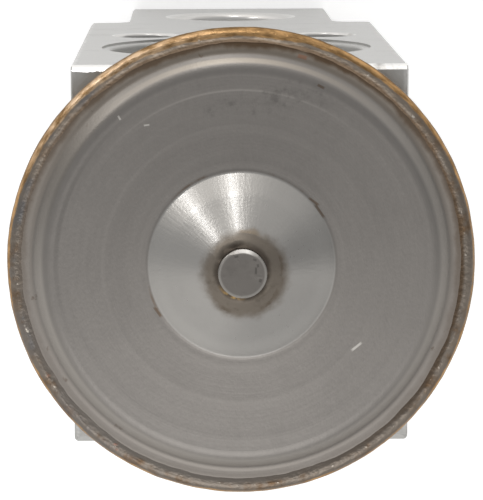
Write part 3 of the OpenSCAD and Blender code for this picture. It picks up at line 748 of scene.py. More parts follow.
def weld_steel(finish):
    """Weld bead: gold outer side, grey-brown crown, and a dark inner border, with painted light on the crown and
    painted shade at its edges and lower side.
    """
    material, g, shader = new_material("Heat tinted weld", 0.42, specular=0.2)
    shader["Specular Tint"].default_value = (0.50, 0.42, 0.34, 1.0)
    depth = g.place(effect("Bead depth", build_bead_depth)).outputs
    turn = depth["Turn"]
    gold, brown = finish.heat_gold, finish.heat_brown
    into = wander(g, depth["Depth"], 420.0, 0.22, 4.0)
    north = turn_window(g, turn, 0.27, 0.26)

    crown = g.blend(clouds(g, 600.0, 0.55, 0.25, 9.0), (0.195, 0.168, 0.142, 1.0), rgba(brown, 1.2))
    # Painted light: the crown is lighter on its north side.
    crown = g.blend(scale_mask(g, north, 0.7), crown, (0.36, 0.30, 0.24, 1.0))
    slate = g.math("MULTIPLY", clouds(g, 300.0, 0.55, 0.2, 17.0), turn_window(g, turn, 0.46, 0.36))
    crown = g.blend(scale_mask(g, slate, 0.8), crown, (0.145, 0.145, 0.15, 1.0))
    runs = streaks(g, 15.0, 3.2)
    gold_tone = g.blend(runs, rgba(gold, 0.62), rgba(gold, 1.55))
    # Painted highlight: light gold streaks on the bead at the north-west.
    painted_gold_glint = g.math("MULTIPLY", turn_window(g, turn, 0.36, 0.12), runs)
    gold_tone = g.blend(scale_mask(g, painted_gold_glint, 0.7), gold_tone, (0.72, 0.58, 0.44, 1.0))
    limit = g.math("ADD", 0.18, scale_mask(g, north, 0.62))
    inside_gold = g.math("SUBTRACT", into, limit)
    colour = g.blend(g.step(inside_gold, -0.05, 0.12), gold_tone, crown)
    flecks = g.math("MULTIPLY", band(g, into, 0.84, 0.06, 0.10), clouds(g, 1300.0, 0.40, 0.08, 19.0))
    colour = g.blend(scale_mask(g, flecks, 0.8), colour, (0.60, 0.55, 0.48, 1.0))
    # Dark inner border: heat tint with painted shade in the crease at the flange, lighter and greyer at the
    # south-west.
    inner = g.step(into, 0.86, 1.16)
    south_west = turn_window(g, turn, 0.66, 0.34)
    border = g.blend(south_west, rgba(brown, 0.75), (0.25, 0.225, 0.20, 1.0))
    colour = g.blend(scale_mask(g, inner, 0.85), colour, border)
    rust = g.math("MULTIPLY", clouds(g, 520.0, 0.34, 0.08, 23.0), turn_window(g, turn, 0.72, 0.36))
    colour = g.blend(scale_mask(g, rust, 0.6), colour, (0.30, 0.10, 0.045, 1.0))
    # Painted shade: the bead's lower side is darker.
    height_mm = polar_of(g)["Height"]
    lower_side_shade = g.math("SUBTRACT", 1.0, g.step(height_mm, RIM_BOTTOM + 0.25, RIM_BOTTOM + 0.6))
    colour = g.blend(scale_mask(g, lower_side_shade, 0.5), colour, (0.26, 0.22, 0.18, 1.0))
    # Painted shade along the bead's outer edge.
    rim = g.math("SUBTRACT", 1.0, g.step(depth["Depth"], 0.02, 0.16))
    colour = g.blend(scale_mask(g, rim, 0.75), colour, rgba(brown, 0.9))
    g.put(colour, shader["Base Color"])
    dull = g.math("SUBTRACT", 1.0, g.step(depth["Depth"], 0.10, 0.45))
    dull = g.math("MULTIPLY", dull, g.math("SUBTRACT", 1.0, scale_mask(g, north, 0.75)))
    g.put(g.math("SUBTRACT", 1.0, scale_mask(g, dull, 0.72)), shader["Metallic"])
    g.put(g.lerp(clouds(g, 700.0, 0.5, 0.3, 7.0), 0.30, 0.48), shader["Roughness"])
    height = g.math("ADD", grain(g, (2600.0, 2600.0, 2600.0)), scale_mask(g, runs, 0.8))
    g.put(relief(g, height, 0.25, 0.00008), shader["Normal"])
    return material


def block_aluminium(finish):
    """Machined aluminium: milled port faces, sawn and brushed sides, worn edges with painted highlight, and painted
    light inside the holes.
    """
    material, g, shader = new_material("Machined aluminium", 0.38)
    base = finish.aluminium
    colour = g.blend(scale_mask(g, clouds(g, 60.0, 0.5, 0.4, 11.0), 0.35), rgba(base), rgba(base, 0.88))
    streak = grain(g, (260.0, 260.0, 5200.0))
    colour = g.blend(scale_mask(g, streak, 0.16), colour, rgba(base, 0.8))
    # Lighter top edges: wear with painted highlight along the edges.
    edge = g.place(effect("Box edge", build_box_edge), {"Reach": 0.55}).outputs["Mask"]
    wear_and_sheen = g.math("MULTIPLY", edge, clouds(g, 420.0, 0.55, 0.2, 18.0))
    colour = g.blend(scale_mask(g, wear_and_sheen, 0.4), colour, (0.78, 0.78, 0.77, 1.0))
    specks = clouds(g, 1500.0, 0.29, 0.05, 12.0)
    colour = g.blend(scale_mask(g, specks, 0.35), colour, rgba(base, 0.45))
    # Painted light inside the holes: on each hole's own side its bore is lighter, rougher and less metallic.
    inside = 0.0
    place = g.add("ShaderNodeTexCoord").outputs["Object"]
    depth = g.add("ShaderNodeSeparateXYZ", {0: place}).outputs[1]
    for x, z, r, side in port_holes():
        near = g.step(g.math("MULTIPLY", depth, side), 0.0, 0.001)
        inside = g.math("MAXIMUM", inside, g.math("MULTIPLY", near, hole_mouth(g, x, z, r, 0.1)))
    colour = g.blend(inside, colour, rgba(base, 1.15))
    g.put(colour, shader["Base Color"])
    rough = g.lerp(clouds(g, 240.0, 0.5, 0.3, 13.0), 0.36, 0.48)
    g.put(g.lerp(inside, rough, 0.6), shader["Roughness"])
    g.put(g.math("SUBTRACT", 1.0, scale_mask(g, inside, 0.35)), shader["Metallic"])
    height = g.math("ADD", streak, grain(g, (2200.0, 2200.0, 2200.0)))
    g.put(relief(g, height, 0.18, 0.00005), shader["Normal"])
    return material


def turned_metal(name, colour, roughness, lines, shift):
    """Lathe-turned metal with fine rings and slight staining."""
    material, g, shader = new_material(name, roughness)
    rings = turned(g, lines)
    patch = clouds(g, 350.0, 0.5, 0.3, shift)
    tone = g.blend(scale_mask(g, rings, 0.4), rgba(colour), rgba(colour, 0.82))
    tone = g.blend(scale_mask(g, patch, 0.3), tone, rgba(colour, 0.7))
    g.put(tone, shader["Base Color"])
    g.put(g.lerp(patch, roughness, roughness + 0.12), shader["Roughness"])
    g.put(relief(g, rings, 0.25, 0.00005), shader["Normal"])
    return material


def plug_steel(finish):
    """Grey resistance-welded plug, a little pitted, with a few dark nicks by its rim and a painted highlight on its
    top edge.
    """
    material, g, shader = new_material("Plug steel", 0.45)
    polar = polar_of(g)
    base = finish.plug
    tone = g.blend(clouds(g, 500.0, 0.5, 0.3, 21.0), rgba(base), rgba(base, 0.82))
    rim = g.step(polar["Radius"], PLUG_R - 0.32, PLUG_R - 0.14)
    tone = g.blend(scale_mask(g, rim, 0.45), tone, (0.40, 0.385, 0.36, 1.0))
    # Painted highlight: a light crescent on the plug's top edge at the north.
    wear_and_sheen = g.math("MULTIPLY", g.step(polar["Radius"], PLUG_R - 0.36, PLUG_R - 0.26),
                  turn_window(g, polar["Turn"], 0.225, 0.10))
    tone = g.blend(scale_mask(g, wear_and_sheen, 0.9), tone, (0.74, 0.72, 0.69, 1.0))
    side = g.math("SUBTRACT", 1.0, g.step(polar["Height"], PLUG_TOP - 0.75, PLUG_TOP - 0.45))
    tone = g.blend(scale_mask(g, side, 0.85), tone, rgba(finish.heat_brown, 0.9))
    for x, y, angle, length, width in (
            (1.12, -0.1, 88.0, 0.75, 0.13), (1.45, -0.75, 70.0, 0.4, 0.16), (1.35, 0.55, 105.0, 0.35, 0.12),
            (-0.75, 1.45, 15.0, 0.45, 0.12), (0.85, 1.3, -20.0, 0.4, 0.12)):
        tone = g.blend(scale_mask(g, mark(g, x, y, angle, length, width), 0.55), tone, rgba(base, 0.4))
    g.put(tone, shader["Base Color"])
    g.put(g.lerp(clouds(g, 900.0, 0.5, 0.3, 22.0), 0.34, 0.48), shader["Roughness"])
    g.put(relief(g, clouds(g, 1500.0, 0.45, 0.3, 23.0), 0.2, 0.00006), shader["Normal"])
    return material


def braze_metal(finish):
    """Brazing round the plug: dark and oxidised, with bare brass on one side."""
    material, g, shader = new_material("Brazed fillet", 0.5)
    polar = polar_of(g)
    radius, turn = polar["Radius"], polar["Turn"]
    halo = halo_of(g)["Mask"]
    tone = g.blend(scale_mask(g, halo, 0.92), rgba(finish.bright_steel, 0.96), scorched(g))
    near = g.math("SUBTRACT", 1.0, g.step(wander(g, radius, 500.0, 0.3, 34.0), PLUG_R + 0.10, PLUG_R + 0.55))
    tone = g.blend(scale_mask(g, near, 0.85), tone, (0.062, 0.050, 0.040, 1.0))
    bare = g.math("MULTIPLY", turn_window(g, turn, 0.675, 0.11), clouds(g, 800.0, 0.62, 0.15, 31.0))
    bare = g.math("MULTIPLY", bare, band(g, radius, PLUG_R + 0.20, 0.08, 0.12))
    tone = g.blend(bare, tone, (0.38, 0.25, 0.10, 1.0))
    g.put(tone, shader["Base Color"])
    g.put(g.lerp(bare, g.math("ADD", 0.30, scale_mask(g, halo, 0.16)), 0.34), shader["Roughness"])
    g.put(relief(g, clouds(g, 1100.0, 0.5, 0.4, 33.0), 0.4, 0.0001), shader["Normal"])
    return material


def seal_rubber(finish):
    """Moulded black rubber with a faint bloom."""
    material, g, shader = new_material("Seal rubber", 0.5, metallic=0.0)
    bloom = clouds(g, 900.0, 0.5, 0.3, 41.0)
    g.put(g.blend(scale_mask(g, bloom, 0.6), rgba(finish.rubber), rgba(finish.rubber, 2.2)), shader["Base Color"])
    g.put(g.lerp(bloom, 0.42, 0.6), shader["Roughness"])
    g.put(relief(g, bloom, 0.2, 0.00005), shader["Normal"])
    return material


def drawn_wire(name, colour, roughness, shift):
    """Drawn spring wire or rolled strip, slightly dulled."""
    material, g, shader = new_material(name, roughness)
    patch = clouds(g, 600.0, 0.5, 0.3, shift)
    line = grain(g, (3500.0, 3500.0, 700.0))
    tone = g.blend(scale_mask(g, patch, 0.5), rgba(colour), rgba(colour, 0.7))
    tone = g.blend(scale_mask(g, line, 0.2), tone, rgba(colour, 1.2))
    g.put(tone, shader["Base Color"])
    g.put(g.lerp(patch, roughness, roughness + 0.1), shader["Roughness"])
    g.put(relief(g, line, 0.15, 0.00004), shader["Normal"])
    return material


def dress(node, material):
    """Gives a CAD node its finish."""
    slots = frame["nodes"][node].material_slots
    for item in slots:
        item.material = material


def finish_piece(obj, body, material, replaced=None):
    """Gives a piece its finish and its body, and hides the CAD node that it stands for."""
    obj.data.materials.clear()
    obj.data.materials.append(material)
    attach(obj, body)
    if replaced:
        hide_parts(replaced)


# Operators

class VALVE_OT_cover(bpy.types.Operator):
    """Press the head's stainless cover with its plateau and dome"""

    bl_idname = "valve.cover"
    bl_label = "Head cover"

    def execute(self, context):
        sizes = context.scene.valve_sizes
        finish = context.scene.valve_finish
        foot_z = DOME_TOP - sizes.dome_rise
        edge_z = foot_z - sizes.plateau_fall
        flange_z = RIM_TOP - 0.1
        hole_r = 1.6
        lean, bend, hollow = math.radians(42), sizes.plateau_edge, sizes.plateau_edge * 0.5
        drop = edge_z - flange_z - (bend + hollow) * (1 - math.cos(lean))
        step_r = sizes.plateau + (bend + hollow) * math.sin(lean) + drop / math.tan(lean)
        clamp_r = SHEET_R - 2.35

        side = dome_line(sizes, 70)
        outer = [(hole_r, DOME_TOP)] + side[:-1]
        outer += [(sizes.dome_foot - 0.04, foot_z + 0.055)]
        outer += [(sizes.dome_foot + 0.06, foot_z - 0.008), (sizes.dome_foot + 0.25, foot_z - 0.03)]
        outer += arc(sizes.plateau, edge_z - bend, bend, bend, 90, 90 - math.degrees(lean), 12)
        outer += arc(step_r, flange_z + hollow, hollow, hollow, 270 - math.degrees(lean), 270, 12)
        outer += [(SHEET_R - 0.25, flange_z)]
        outer += [(SHEET_R - 0.12, flange_z - 0.03), (SHEET_R, flange_z - 0.12)]
        outer = split_line(outer, 0.24)
        inner = [(SHEET_R, COVER_UNDER), (clamp_r + 0.2, COVER_UNDER),
                 (sizes.plateau + 0.5, edge_z - sizes.sheet - 0.35),
                 (sizes.plateau - 0.3, edge_z - sizes.sheet - 0.02)]
        inner += [(radius - sizes.sheet / 2, height - sizes.sheet) for radius, height in side[::-4]]
        inner += [(hole_r, DOME_TOP - sizes.sheet)]
        last_outer = len(outer) - 1

        def pressed(radius, height, angle, index):
            if index > last_outer:
                return radius, height
            lift = 0.0
            for ring_r, width in ((9.0, 0.35), (12.15, 0.3), (15.6, 0.4)):
                lift += sizes.press_ring * math.exp(-((radius - ring_r) / width) ** 2)
            if 3.2 < radius < 17:
                spot = Vector((radius * math.cos(angle), radius * math.sin(angle), 0)) * 0.16
                lift += 0.010 * noise.noise(spot) * min(1.0, (radius - 3.2) / 2, (17 - radius) / 2)
            return radius, height + lift

        obj = revolve("cover_skin", outer + inner, 320, pressed)
        finish_piece(obj, "valve_body", cover_steel(finish), "head_cover")
        return {"FINISHED"}


class VALVE_OT_weld(bpy.types.Operator):
    """Lay the uneven weld bead round the head's rim"""

    bl_idname = "valve.weld"
    bl_label = "Rim weld"

    def execute(self, context):
        sizes = context.scene.valve_sizes
        centre_r = RIM_R - BEAD_R
        centre_z = RIM_BOTTOM + BEAD_R
        flange_z = RIM_TOP - 0.1
        inner_r = SHEET_R - 0.30
        profile = [(SHEET_R, RIM_BOTTOM)] + arc(centre_r, centre_z, BEAD_R, BEAD_R, -90, 90, 34)
        profile += [(SHEET_R + 0.20, RIM_TOP - 0.006), (SHEET_R + 0.08, RIM_TOP - 0.022),
                    (SHEET_R - 0.04, RIM_TOP - 0.046), (SHEET_R - 0.16, RIM_TOP - 0.072),
                    (inner_r, flange_z - 0.006), (inner_r - 0.14, flange_z - 0.06)]
        profile += [(SHEET_R, flange_z - 0.3)]
        foot_from = len(profile) - 6

        def bead(radius, height, angle, index):
            spot = Vector((math.cos(angle) * 7, math.sin(angle) * 7, 0.0))
            fine = Vector((math.cos(angle) * 26, math.sin(angle) * 26, height * 1.5))
            grip = 0.0 if index == 0 or index == len(profile) - 1 else 1.0
            if foot_from <= index < len(profile) - 1:
                shift = sizes.bead_wave * (noise.noise(spot * 1.1) + 0.5 * noise.noise(fine * 0.9))
                share = (index - foot_from + 1) / 5 if index < len(profile) - 2 else 1.0
                return radius + shift * min(1.0, share), height
            low = min(1.0, max(0.0, (radius - SHEET_R) / 0.3)) * grip
            lump = noise.noise(spot * 1.9 + Vector((0, 0, height * 0.5)))
            push = low * (sizes.bead_lump * (0.75 * lump + 0.35 * noise.noise(fine)) - sizes.bead_lump * 0.55)
            push = min(0.0, push)
            dr, dz = radius - centre_r, height - centre_z
            size = math.hypot(dr, dz) or 1.0
            oval = (bead_edge(angle) - RIM_R) * min(1.0, max(0.0, (radius - SHEET_R) / 0.6)) * grip
            return radius + oval + push * dr / size, height + push * dz / size

        obj = revolve("weld_bead", profile, 1200, bead)
        finish_piece(obj, "valve_body",
                     weld_steel(context.scene.valve_finish), "rim_weld")
        return {"FINISHED"}


class VALVE_OT_plug(bpy.types.Operator):
    """Close the charging hole with its plug and brazed fillet"""

    bl_idname = "valve.plug"
    bl_label = "Charge plug"

    def execute(self, context):
        finish = context.scene.valve_finish
        stem_r = 1.6
        profile = [(0, PLUG_UNDER), (stem_r - 0.3, PLUG_UNDER), (stem_r, PLUG_UNDER + 0.4), (stem_r, DOME_TOP)]
        profile += [(PLUG_R - 0.02, DOME_TOP), (PLUG_R - 0.02, DOME_TOP + 0.4), (PLUG_R - 0.02, PLUG_TOP - 0.55)]
        first = len(profile)
        steps = 8
        profile += [(PLUG_R - 0.02 - 0.18 * i / steps, PLUG_TOP - 0.14 * (1 - i / steps)) for i in range(steps + 1)]
        profile += [(1.2, PLUG_TOP), (0.7, PLUG_TOP), (0, PLUG_TOP)]

        def blunt(radius, height, angle, index):
            if height < DOME_TOP + 0.1:
                return radius, height
            spot = Vector((radius * math.cos(angle), radius * math.sin(angle), height)) * 1.1
            dent = abs(0.008 * noise.noise(spot))
            away = (math.degrees(angle) - 92 + 180) % 360 - 180
            bevel = max(0.0, 1 - ((away + 6) / 38) ** 2) ** 0.8
            bevel *= 1 + 0.35 * noise.noise(Vector((math.cos(angle) * 3, math.sin(angle) * 3, 0)))
            if first <= index <= first + steps:
                share = (index - first) / steps
                width = 0.08 + 0.30 * bevel
                fall = width * (0.9 - 0.1 * share) * (1 - share)
                return PLUG_R - 0.02 - width * share - dent, PLUG_TOP - fall - dent
            return radius - dent, height - dent

        plug = revolve("plug_head", profile, 120, blunt)
        finish_piece(plug, "valve_body", plug_steel(finish), "charge_plug")

        sizes = context.scene.valve_sizes
        skirt_r = BRAZE_R + 0.45
        ground = [point for point in dome_line(sizes, 70) if point[0] < skirt_r]
        fillet = [(PLUG_R, DOME_TOP - 0.05), (sizes.dome_flat, DOME_TOP - 0.05)]
        fillet += [(radius, height - 0.05) for radius, height in ground[1:]]
        top = [(radius, height) for radius, height in ground[::-1]] + [
            (PLUG_R + (sizes.dome_flat - PLUG_R) * i / 8, DOME_TOP) for i in range(7, -1, -1)]
        bank = BRAZE_TOP - DOME_TOP
        for radius, height in top:
            near = (skirt_r - radius) / (skirt_r - PLUG_R)
            fillet.append((radius, height + 0.004 + bank * max(0.0, near) ** 3))
        upper = len(ground)

        def lumpy(radius, height, angle, index):
            if index <= upper:
                return radius, height
            spot = Vector((math.cos(angle) * 2.4, math.sin(angle) * 2.4, radius))
            share = max(0.0, height - DOME_TOP)
            return radius, height + min(0.0, share * 0.9 * noise.noise(spot) - share * 0.1)

        braze = revolve("braze_fillet", fillet, 120, lumpy)
        finish_piece(braze, "valve_body", braze_metal(finish), "plug_solder")
        return {"FINISHED"}


class VALVE_OT_block(bpy.types.Operator):
    """Finish the machined block: hole mouths, worn top edges with painted highlight and a turned-over lip, and the
    tapped hole's thread
    """

    bl_idname = "valve.block"
    bl_label = "Valve block"

    def execute(self, context):
        sizes = context.scene.valve_sizes
        material = block_aluminium(context.scene.valve_finish)
        dress("valve_block", material)
        holes = {m["name"]: m for m in frame["record"]["mounts"]}
        stud = holes["stud_hole"]
        radius = stud["dims"]["r_mm"]
        length = stud["dims"]["length_mm"]
        thread = thread_ridge(
            "stud_thread", radius, sizes.stud_pitch, length / sizes.stud_pitch - 1.6, 0.22,
            stud["pos_m"][0] / MM, stud["pos_m"][2] / MM, BLOCK_HALF_D - 0.9, 1)
        finish_piece(thread, "valve_body", material)
        self.mouths(self.cut_edge("Cut hole mouth", (0.60, 0.59, 0.57), 0.30))
        self.side_edges(material)
        self.burr(self.cut_edge("Turned-over lip", (0.80, 0.79, 0.77), 0.3))
        return {"FINISHED"}

    def cut_edge(self, name, tone, roughness):
        """Freshly cut aluminium, smoother than the faces round it."""
        material, g, shader = new_material(name, roughness)
        place = g.add("ShaderNodeTexCoord").outputs["Object"]
        right = g.step(g.add("ShaderNodeSeparateXYZ", {0: place}).outputs[0], 0.010, 0.0125)
        wear_and_sheen = g.math("MULTIPLY", right, clouds(g, 700.0, 0.55, 0.2, 28.0))
        tone = g.blend(clouds(g, 900.0, 0.4, 0.3, 27.0), rgba(tone), rgba(tone, 0.82))
        tone = g.blend(scale_mask(g, wear_and_sheen, 0.75), tone, (0.36, 0.35, 0.33, 1.0))
        g.put(tone, shader["Base Color"])
        return material

    def mouths(self, material):
        """Smooth rounded mouths that lie on the bevelled edges of the liquid and bolt holes."""
        stand = 0.02
        for number, (x, z, radius, side) in enumerate(port_holes()):
            if radius > 10:
                continue
            wide = radius > 5
            reach = 0.85 if wide else 0.3
            line = []
            for i in range(17):
                a = math.radians(90 * i / 16)
                line.append((radius - stand + reach * (1 - math.sin(a)),
                             BLOCK_HALF_D + stand / 2 - reach * (1 - math.cos(a))))
            line += [(radius + 0.1, BLOCK_HALF_D - reach - 0.03), (radius + reach * 0.6, BLOCK_HALF_D - reach - 0.03),
                     (radius + reach, BLOCK_HALF_D - 0.06)]
            ring = revolve("hole_mouth_%d" % number, line, 120)
            for vertex in ring.data.vertices:
                vx, vy, vz = vertex.co
                vertex.co = (vx + x * MM, side * vz, vy + z * MM)
            if side < 0:
                ring.data.flip_normals()
            ring.data.flip_normals()
            finish_piece(ring, "valve_body", material)

    def side_edges(self, material):
        """Strips that sharpen the top's two long side edges, which are hardly broken."""
        for name, side in (("side_edge_left", -1), ("side_edge_right", 1)):
            bm = bmesh.new()
            rows = []
            for y in (-BLOCK_HALF_D + 0.5, BLOCK_HALF_D - 0.5):
                section = [(-0.5, 0.0), (-0.12, 0.0), (-0.003, -0.12), (-0.003, -0.5)]
                rows.append([bm.verts.new((
                    side * (BLOCK_HALF_W + dx) * MM, y * MM, (BLOCK_TOP + dz - 0.002) * MM)) for dx, dz in section])
            for k in range(4):
                n = (k + 1) % 4
                bm.faces.new((rows[0][k], rows[0][n], rows[1][n], rows[1][k]))
            bm.faces.new(rows[0])
            bm.faces.new(rows[1][::-1])
            finish_piece(as_object(name, bm, 20), "valve_body", material)

    def burr(self, material):
        """Uneven turned-over lip along the block's top front edge."""
        rng = random.Random(7)
        bm = bmesh.new()
        count = 240
        half = BLOCK_HALF_W - 0.12
        front, top = BLOCK_HALF_D, BLOCK_TOP
        rows = []
        wave = 0.0
        for i in range(count + 1):
            x = -half + 2 * half * i / count
            wave = 0.80 * wave + rng.uniform(-0.07, 0.07)
            left = max(0.0, min(1.0, (2.0 - x) / 12))
            width = 0.03 * left + (0.12 + 0.65 * left) * abs(wave)
            inner, rise = front - 0.52 - width, 0.45 * width
            row = [(x, front - 0.008, top - 0.53), (x, front - 0.012, top - 0.47), (x, front - 0.25, top - 0.235),
                   (x, front - 0.46, top - 0.015), (x, front - 0.53, top + 0.025),
                   (x, inner + 0.3 * width, top + 0.025 + rise), (x, inner, top + 0.02 + 0.6 * rise),
                   (x, inner, top - 0.06), (x, front - 0.52, top - 0.10), (x, front - 0.10, top - 0.53)]
            rows.append([bm.verts.new(Vector(p) * MM) for p in row])
        for a, b in zip(rows, rows[1:]):
            for k in range(len(a)):
                n = (k + 1) % len(a)
                bm.faces.new((a[k], a[n], b[n], b[k]))
        bm.faces.new(rows[0])
        bm.faces.new(list(reversed(rows[-1])))
        finish_piece(as_object("edge_burr", bm, 60), "valve_body", material)


class VALVE_OT_head_inside(bpy.types.Operator):
    """Finish the head's lower shell, diaphragm, pad and seal"""

    bl_idname = "valve.head_inside"
    bl_label = "Head inside"

    def execute(self, context):
        finish = context.scene.valve_finish
        dress("head_base", turned_metal("Turned shell steel", (0.42, 0.41, 0.39), 0.34, 6.0, 51.0))
        dress("diaphragm_pad", turned_metal("Pad steel", (0.50, 0.49, 0.47), 0.3, 7.0, 52.0))
        dress("diaphragm", drawn_wire("Diaphragm foil", (0.55, 0.54, 0.52), 0.22, 53.0))
        dress("head_seal", seal_rubber(finish))
        return {"FINISHED"}


class VALVE_OT_train(bpy.types.Operator):
    """Finish the sensing rod, its seal and ring, the pin, seat, ball and carrier"""

    bl_idname = "valve.train"
    bl_label = "Valve train"

    def execute(self, context):
        rubber = bpy.data.materials["Seal rubber"]
        steel = turned_metal("Turned valve steel", (0.52, 0.51, 0.49), 0.28, 10.0, 61.0)
        strip = drawn_wire("Spring strip", (0.50, 0.49, 0.46), 0.3, 62.0)
        polished = drawn_wire("Polished steel", (0.68, 0.68, 0.68), 0.1, 63.0)
        dress("sensing_rod", turned_metal("Rod aluminium", (0.60, 0.59, 0.57), 0.3, 9.0, 64.0))
        dress("rod_seal", rubber)
        dress("rod_retainer", strip)
        dress("ball_damper", strip)
        dress("push_pin", polished)
        dress("valve_ball", polished)
        dress("ball_carrier", steel)
        dress("seat_ring", steel)
        return {"FINISHED"}


class VALVE_OT_adjuster(bpy.types.Operator):
    """Cut the adjusting screw with its thread and key socket, and finish its seal and spring"""

    bl_idname = "valve.adjuster"
    bl_label = "Adjusting screw"

    def execute(self, context):
        sizes = context.scene.valve_sizes
        finish = context.scene.valve_finish
        count = 144
        low = SCREW_LOW.z / MM
        thread_r = SCREW_HIGH.x / MM - 0.01
        land_r = 5.93
        thread_top = low + 3.6
        top = SCREW_HIGH.z / MM
        groove = thread_top + 2.0
        hexa = hexagon(sizes.socket_flats, count)
        floor = low + 3.6
        rows = [[(0.0, floor + 0.5)] * count]
        rows.append([(r * 0.96, floor) for r in hexa])
        rows.append([(r, floor - 0.1) for r in hexa])
        rows.append([(r, low + 0.45) for r in hexa])
        rows.append([(max(r, 3.3) + 0.12, low) for r in hexa])
        rows.append([(4.4, low)] * count)
        rows.append([(5.6, low)] * count)
        start, end = low + 0.05, thread_top - 0.1
        steps = 84
        for i in range(steps + 1):
            z = start + (end - start) * i / steps
            row = []
            for k in range(count):
                phase = (z / sizes.screw_pitch - k / count) % 1.0
                depth = 0.5 * (1 - abs(2 * phase - 1)) * 1.15
                fade = min(1.0, (z - start) / 0.45 + 0.05)
                row.append((thread_r - min(0.52, depth) - 0.5 * (1 - fade), z))
            rows.append(row)
        rows.append([(land_r, thread_top - 0.02)] * count)
        for r, z in ((land_r, groove - 0.7), (land_r - 1.2, groove - 0.68), (land_r - 1.2, groove + 0.68),
                     (land_r, groove + 0.7), (land_r, top - 1.25), (land_r - 0.2, top - 1.0),
                     (3.42, top - 1.0), (3.38, top - 0.25), (3.1, top)):
            rows.append([(r, z)] * count)
        rows.append([(0.0, top)] * count)

        def given(radius, height, angle, index):
            k = round(angle / (2 * math.pi) * count) % count
            return rows[index][k]

        profile = [(0.0 if row[0][0] == 0.0 else row[0][0], row[0][1]) for row in rows]
        obj = revolve("screw_body", profile[::-1], count, lambda r, z, a, i: given(r, z, a, len(rows) - 1 - i))
        brass = turned_metal("Turned brass", finish.brass, 0.26, 8.0, 71.0)
        finish_piece(obj, "adjuster", brass, "adjusting_screw")
        dress("adjuster_seal", bpy.data.materials["Seal rubber"])
        dress("valve_spring", drawn_wire("Spring wire", (0.40, 0.395, 0.38), 0.3, 72.0))
        return {"FINISHED"}


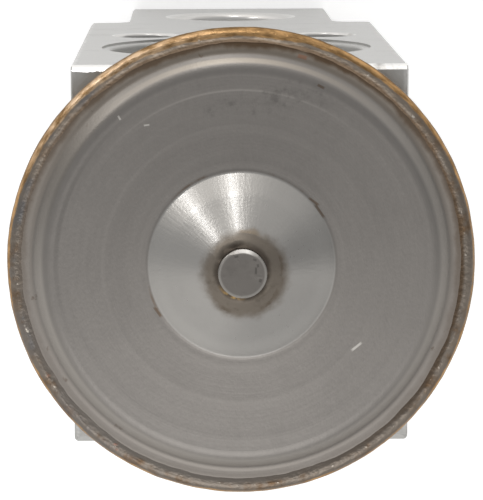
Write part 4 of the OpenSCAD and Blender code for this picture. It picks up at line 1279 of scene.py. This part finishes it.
class VALVE_OT_stage(bpy.types.Operator):
    """Set up the pale floor, the soft studio light and the camera"""

    bl_idname = "valve.stage"
    bl_label = "Studio"

    def execute(self, context):
        scene = context.scene
        self.floor(scene)
        self.world(scene)
        self.lamps(scene)
        self.camera(scene)
        scene.view_settings.view_transform = "Standard"
        return {"FINISHED"}

    def floor(self, scene):
        bm = bmesh.new()
        bmesh.ops.create_grid(bm, x_segments=8, y_segments=8, size=4.0)
        bmesh.ops.translate(bm, vec=(0, 0, -0.03 * MM), verts=bm.verts)
        obj = as_object("studio_floor", bm)
        material = bpy.data.materials.new("Pale floor")
        material.use_nodes = True
        material.node_tree.nodes.clear()
        g = Graph(material.node_tree)
        matt = g.add("ShaderNodeBsdfDiffuse", {"Color": (0.86, 0.86, 0.86, 1.0)})
        rays = g.add("ShaderNodeLightPath").outputs
        seen = g.math("MAXIMUM", rays["Is Camera Ray"], rays["Is Glossy Ray"])
        seen = g.math("MAXIMUM", seen, rays["Is Transmission Ray"])
        glow = g.add("ShaderNodeEmission", {
            "Color": (1.0, 1.0, 1.0, 1.0), "Strength": g.math("MULTIPLY", seen, 0.42)})
        both = g.add("ShaderNodeAddShader", {0: matt.outputs[0], 1: glow.outputs[0]})
        g.add("ShaderNodeOutputMaterial", {"Surface": both.outputs[0]})
        obj.data.materials.append(material)

    def world(self, scene):
        """White for the camera; for the object a grey room with a soft window to the north."""
        world = bpy.data.worlds.new("Studio")
        scene.world = world
        world.use_nodes = True
        world.node_tree.nodes.clear()
        g = Graph(world.node_tree)
        rays = g.add("ShaderNodeLightPath").outputs
        facing = g.add("ShaderNodeTexCoord").outputs["Generated"]
        parts = g.add("ShaderNodeSeparateXYZ", {0: facing}).outputs
        ceiling = g.step(parts[2], 0.25, 0.95)
        room = g.blend(ceiling, (0.62, 0.62, 0.62, 1.0), (0.54, 0.54, 0.54, 1.0))
        east = g.math("MULTIPLY", g.step(parts[0], 0.55, 1.0), 0.55)
        room = g.blend(east, room, (0.30, 0.30, 0.30, 1.0))
        behind = g.math("MULTIPLY", parts[1], -1.0)
        room = g.blend(scale_mask(g, g.step(behind, 0.0, 0.30), 0.9), room, (1.0, 0.99, 0.975, 1.0))
        low = g.math("SUBTRACT", 1.0, g.step(parts[2], 0.20, 0.60))
        south_east = g.math("ADD", g.math("MULTIPLY", behind, 0.85), g.math("MULTIPLY", parts[0], 0.53))
        far_low = g.math("MULTIPLY", g.step(south_east, 0.55, 0.95), low)
        room = g.blend(scale_mask(g, far_low, 0.9), room, (0.64, 0.635, 0.63, 1.0))
        north = g.math("MULTIPLY", g.step(parts[1], 0.25, 0.75), g.math("SUBTRACT", 1.0, g.step(parts[2], 0.3, 0.6)))
        room = g.blend(scale_mask(g, north, 0.9), room, (0.88, 0.87, 0.86, 1.0))
        leaning = g.math("ADD", g.math("MULTIPLY", parts[0], -0.375), g.math("MULTIPLY", parts[1], 0.927))
        window = g.math("MULTIPLY", g.step(leaning, 0.62, 0.93), g.math("SUBTRACT", 1.0, g.step(parts[2], 0.27, 0.44)))
        room = g.blend(window, room, (1.50, 1.47, 1.43, 1.0))
        colour = g.blend(rays["Is Camera Ray"], room, (1.0, 1.0, 1.0, 1.0))
        back = g.add("ShaderNodeBackground", {"Color": colour, "Strength": 1.0})
        g.add("ShaderNodeOutputWorld", {"Surface": back.outputs[0]})

    def lamps(self, scene):
        aim = Vector((0, 0, (BLOCK_TOP + 9) * MM))
        for name, azimuth, elevation, distance, size, power in (
                ("window_left", 133.9, 18.3, 0.55, 0.05, 0.16),
                ("window_back", 96.9, 19.8, 0.55, 0.05, 0.18),
                ("fill_front", -95.0, 52.0, 0.80, 0.55, 1.2)):
            a, e = math.radians(azimuth), math.radians(elevation)
            away = Vector((math.cos(a) * math.cos(e), math.sin(a) * math.cos(e), math.sin(e)))
            data = bpy.data.lights.new(name, "AREA")
            data.shape = "SQUARE"
            data.size = size
            data.energy = power
            lamp = bpy.data.objects.new(name, data)
            lamp.location = aim + away * distance
            lamp.rotation_euler = away.to_track_quat("Z", "Y").to_euler()
            scene.collection.objects.link(lamp)

    def camera(self, scene):
        data = bpy.data.cameras.new("photo_camera")
        data.sensor_width = 36.0
        data.lens = 225.18
        data.clip_start = 0.01
        data.clip_end = 20.0
        obj = bpy.data.objects.new("photo_camera", data)
        scene.collection.objects.link(obj)
        turn = (Matrix.Rotation(0.006, 3, "Z") @ Matrix.Rotation(0.015, 3, "Y")
                @ Matrix.Rotation(0.137, 3, "X")).transposed()
        place = Vector((-4.103, 38.564, BLOCK_TOP + 276.984)) * MM
        obj.matrix_world = Matrix.Translation(place) @ turn.to_4x4()
        scene.camera = obj


class VALVE_PT_panel(bpy.types.Panel):
    """Lists the valve's steps, sizes and finishes"""

    bl_idname = "VALVE_PT_panel"
    bl_label = "Block expansion valve"
    bl_space_type = "VIEW_3D"
    bl_region_type = "UI"
    bl_category = "Valve"

    def draw(self, context):
        layout = self.layout
        for operator in OPERATORS:
            layout.operator(operator.bl_idname)
        for group in (context.scene.valve_sizes, context.scene.valve_finish):
            column = layout.column()
            for key in group.bl_rna.properties.keys():
                if key not in ("rna_type", "name"):
                    column.prop(group, key)


OPERATORS = (
    VALVE_OT_cover, VALVE_OT_weld, VALVE_OT_plug, VALVE_OT_block, VALVE_OT_head_inside,
    VALVE_OT_train, VALVE_OT_adjuster, VALVE_OT_stage,
)
CLASSES = (ValveSizes, ValveFinish) + OPERATORS + (VALVE_PT_panel,)


def register():
    for item in CLASSES:
        bpy.utils.register_class(item)
    bpy.types.Scene.valve_sizes = bpy.props.PointerProperty(type=ValveSizes)
    bpy.types.Scene.valve_finish = bpy.props.PointerProperty(type=ValveFinish)


def unregister():
    del bpy.types.Scene.valve_finish
    del bpy.types.Scene.valve_sizes
    for item in reversed(CLASSES):
        bpy.utils.unregister_class(item)


def main():
    register()
    bpy.ops.valve.cover()
    bpy.ops.valve.weld()
    bpy.ops.valve.plug()
    bpy.ops.valve.block()
    bpy.ops.valve.head_inside()
    bpy.ops.valve.train()
    bpy.ops.valve.adjuster()
    bpy.ops.valve.stage()
    bpy.context.view_layer.update()


if __name__ == "__main__":
    main()
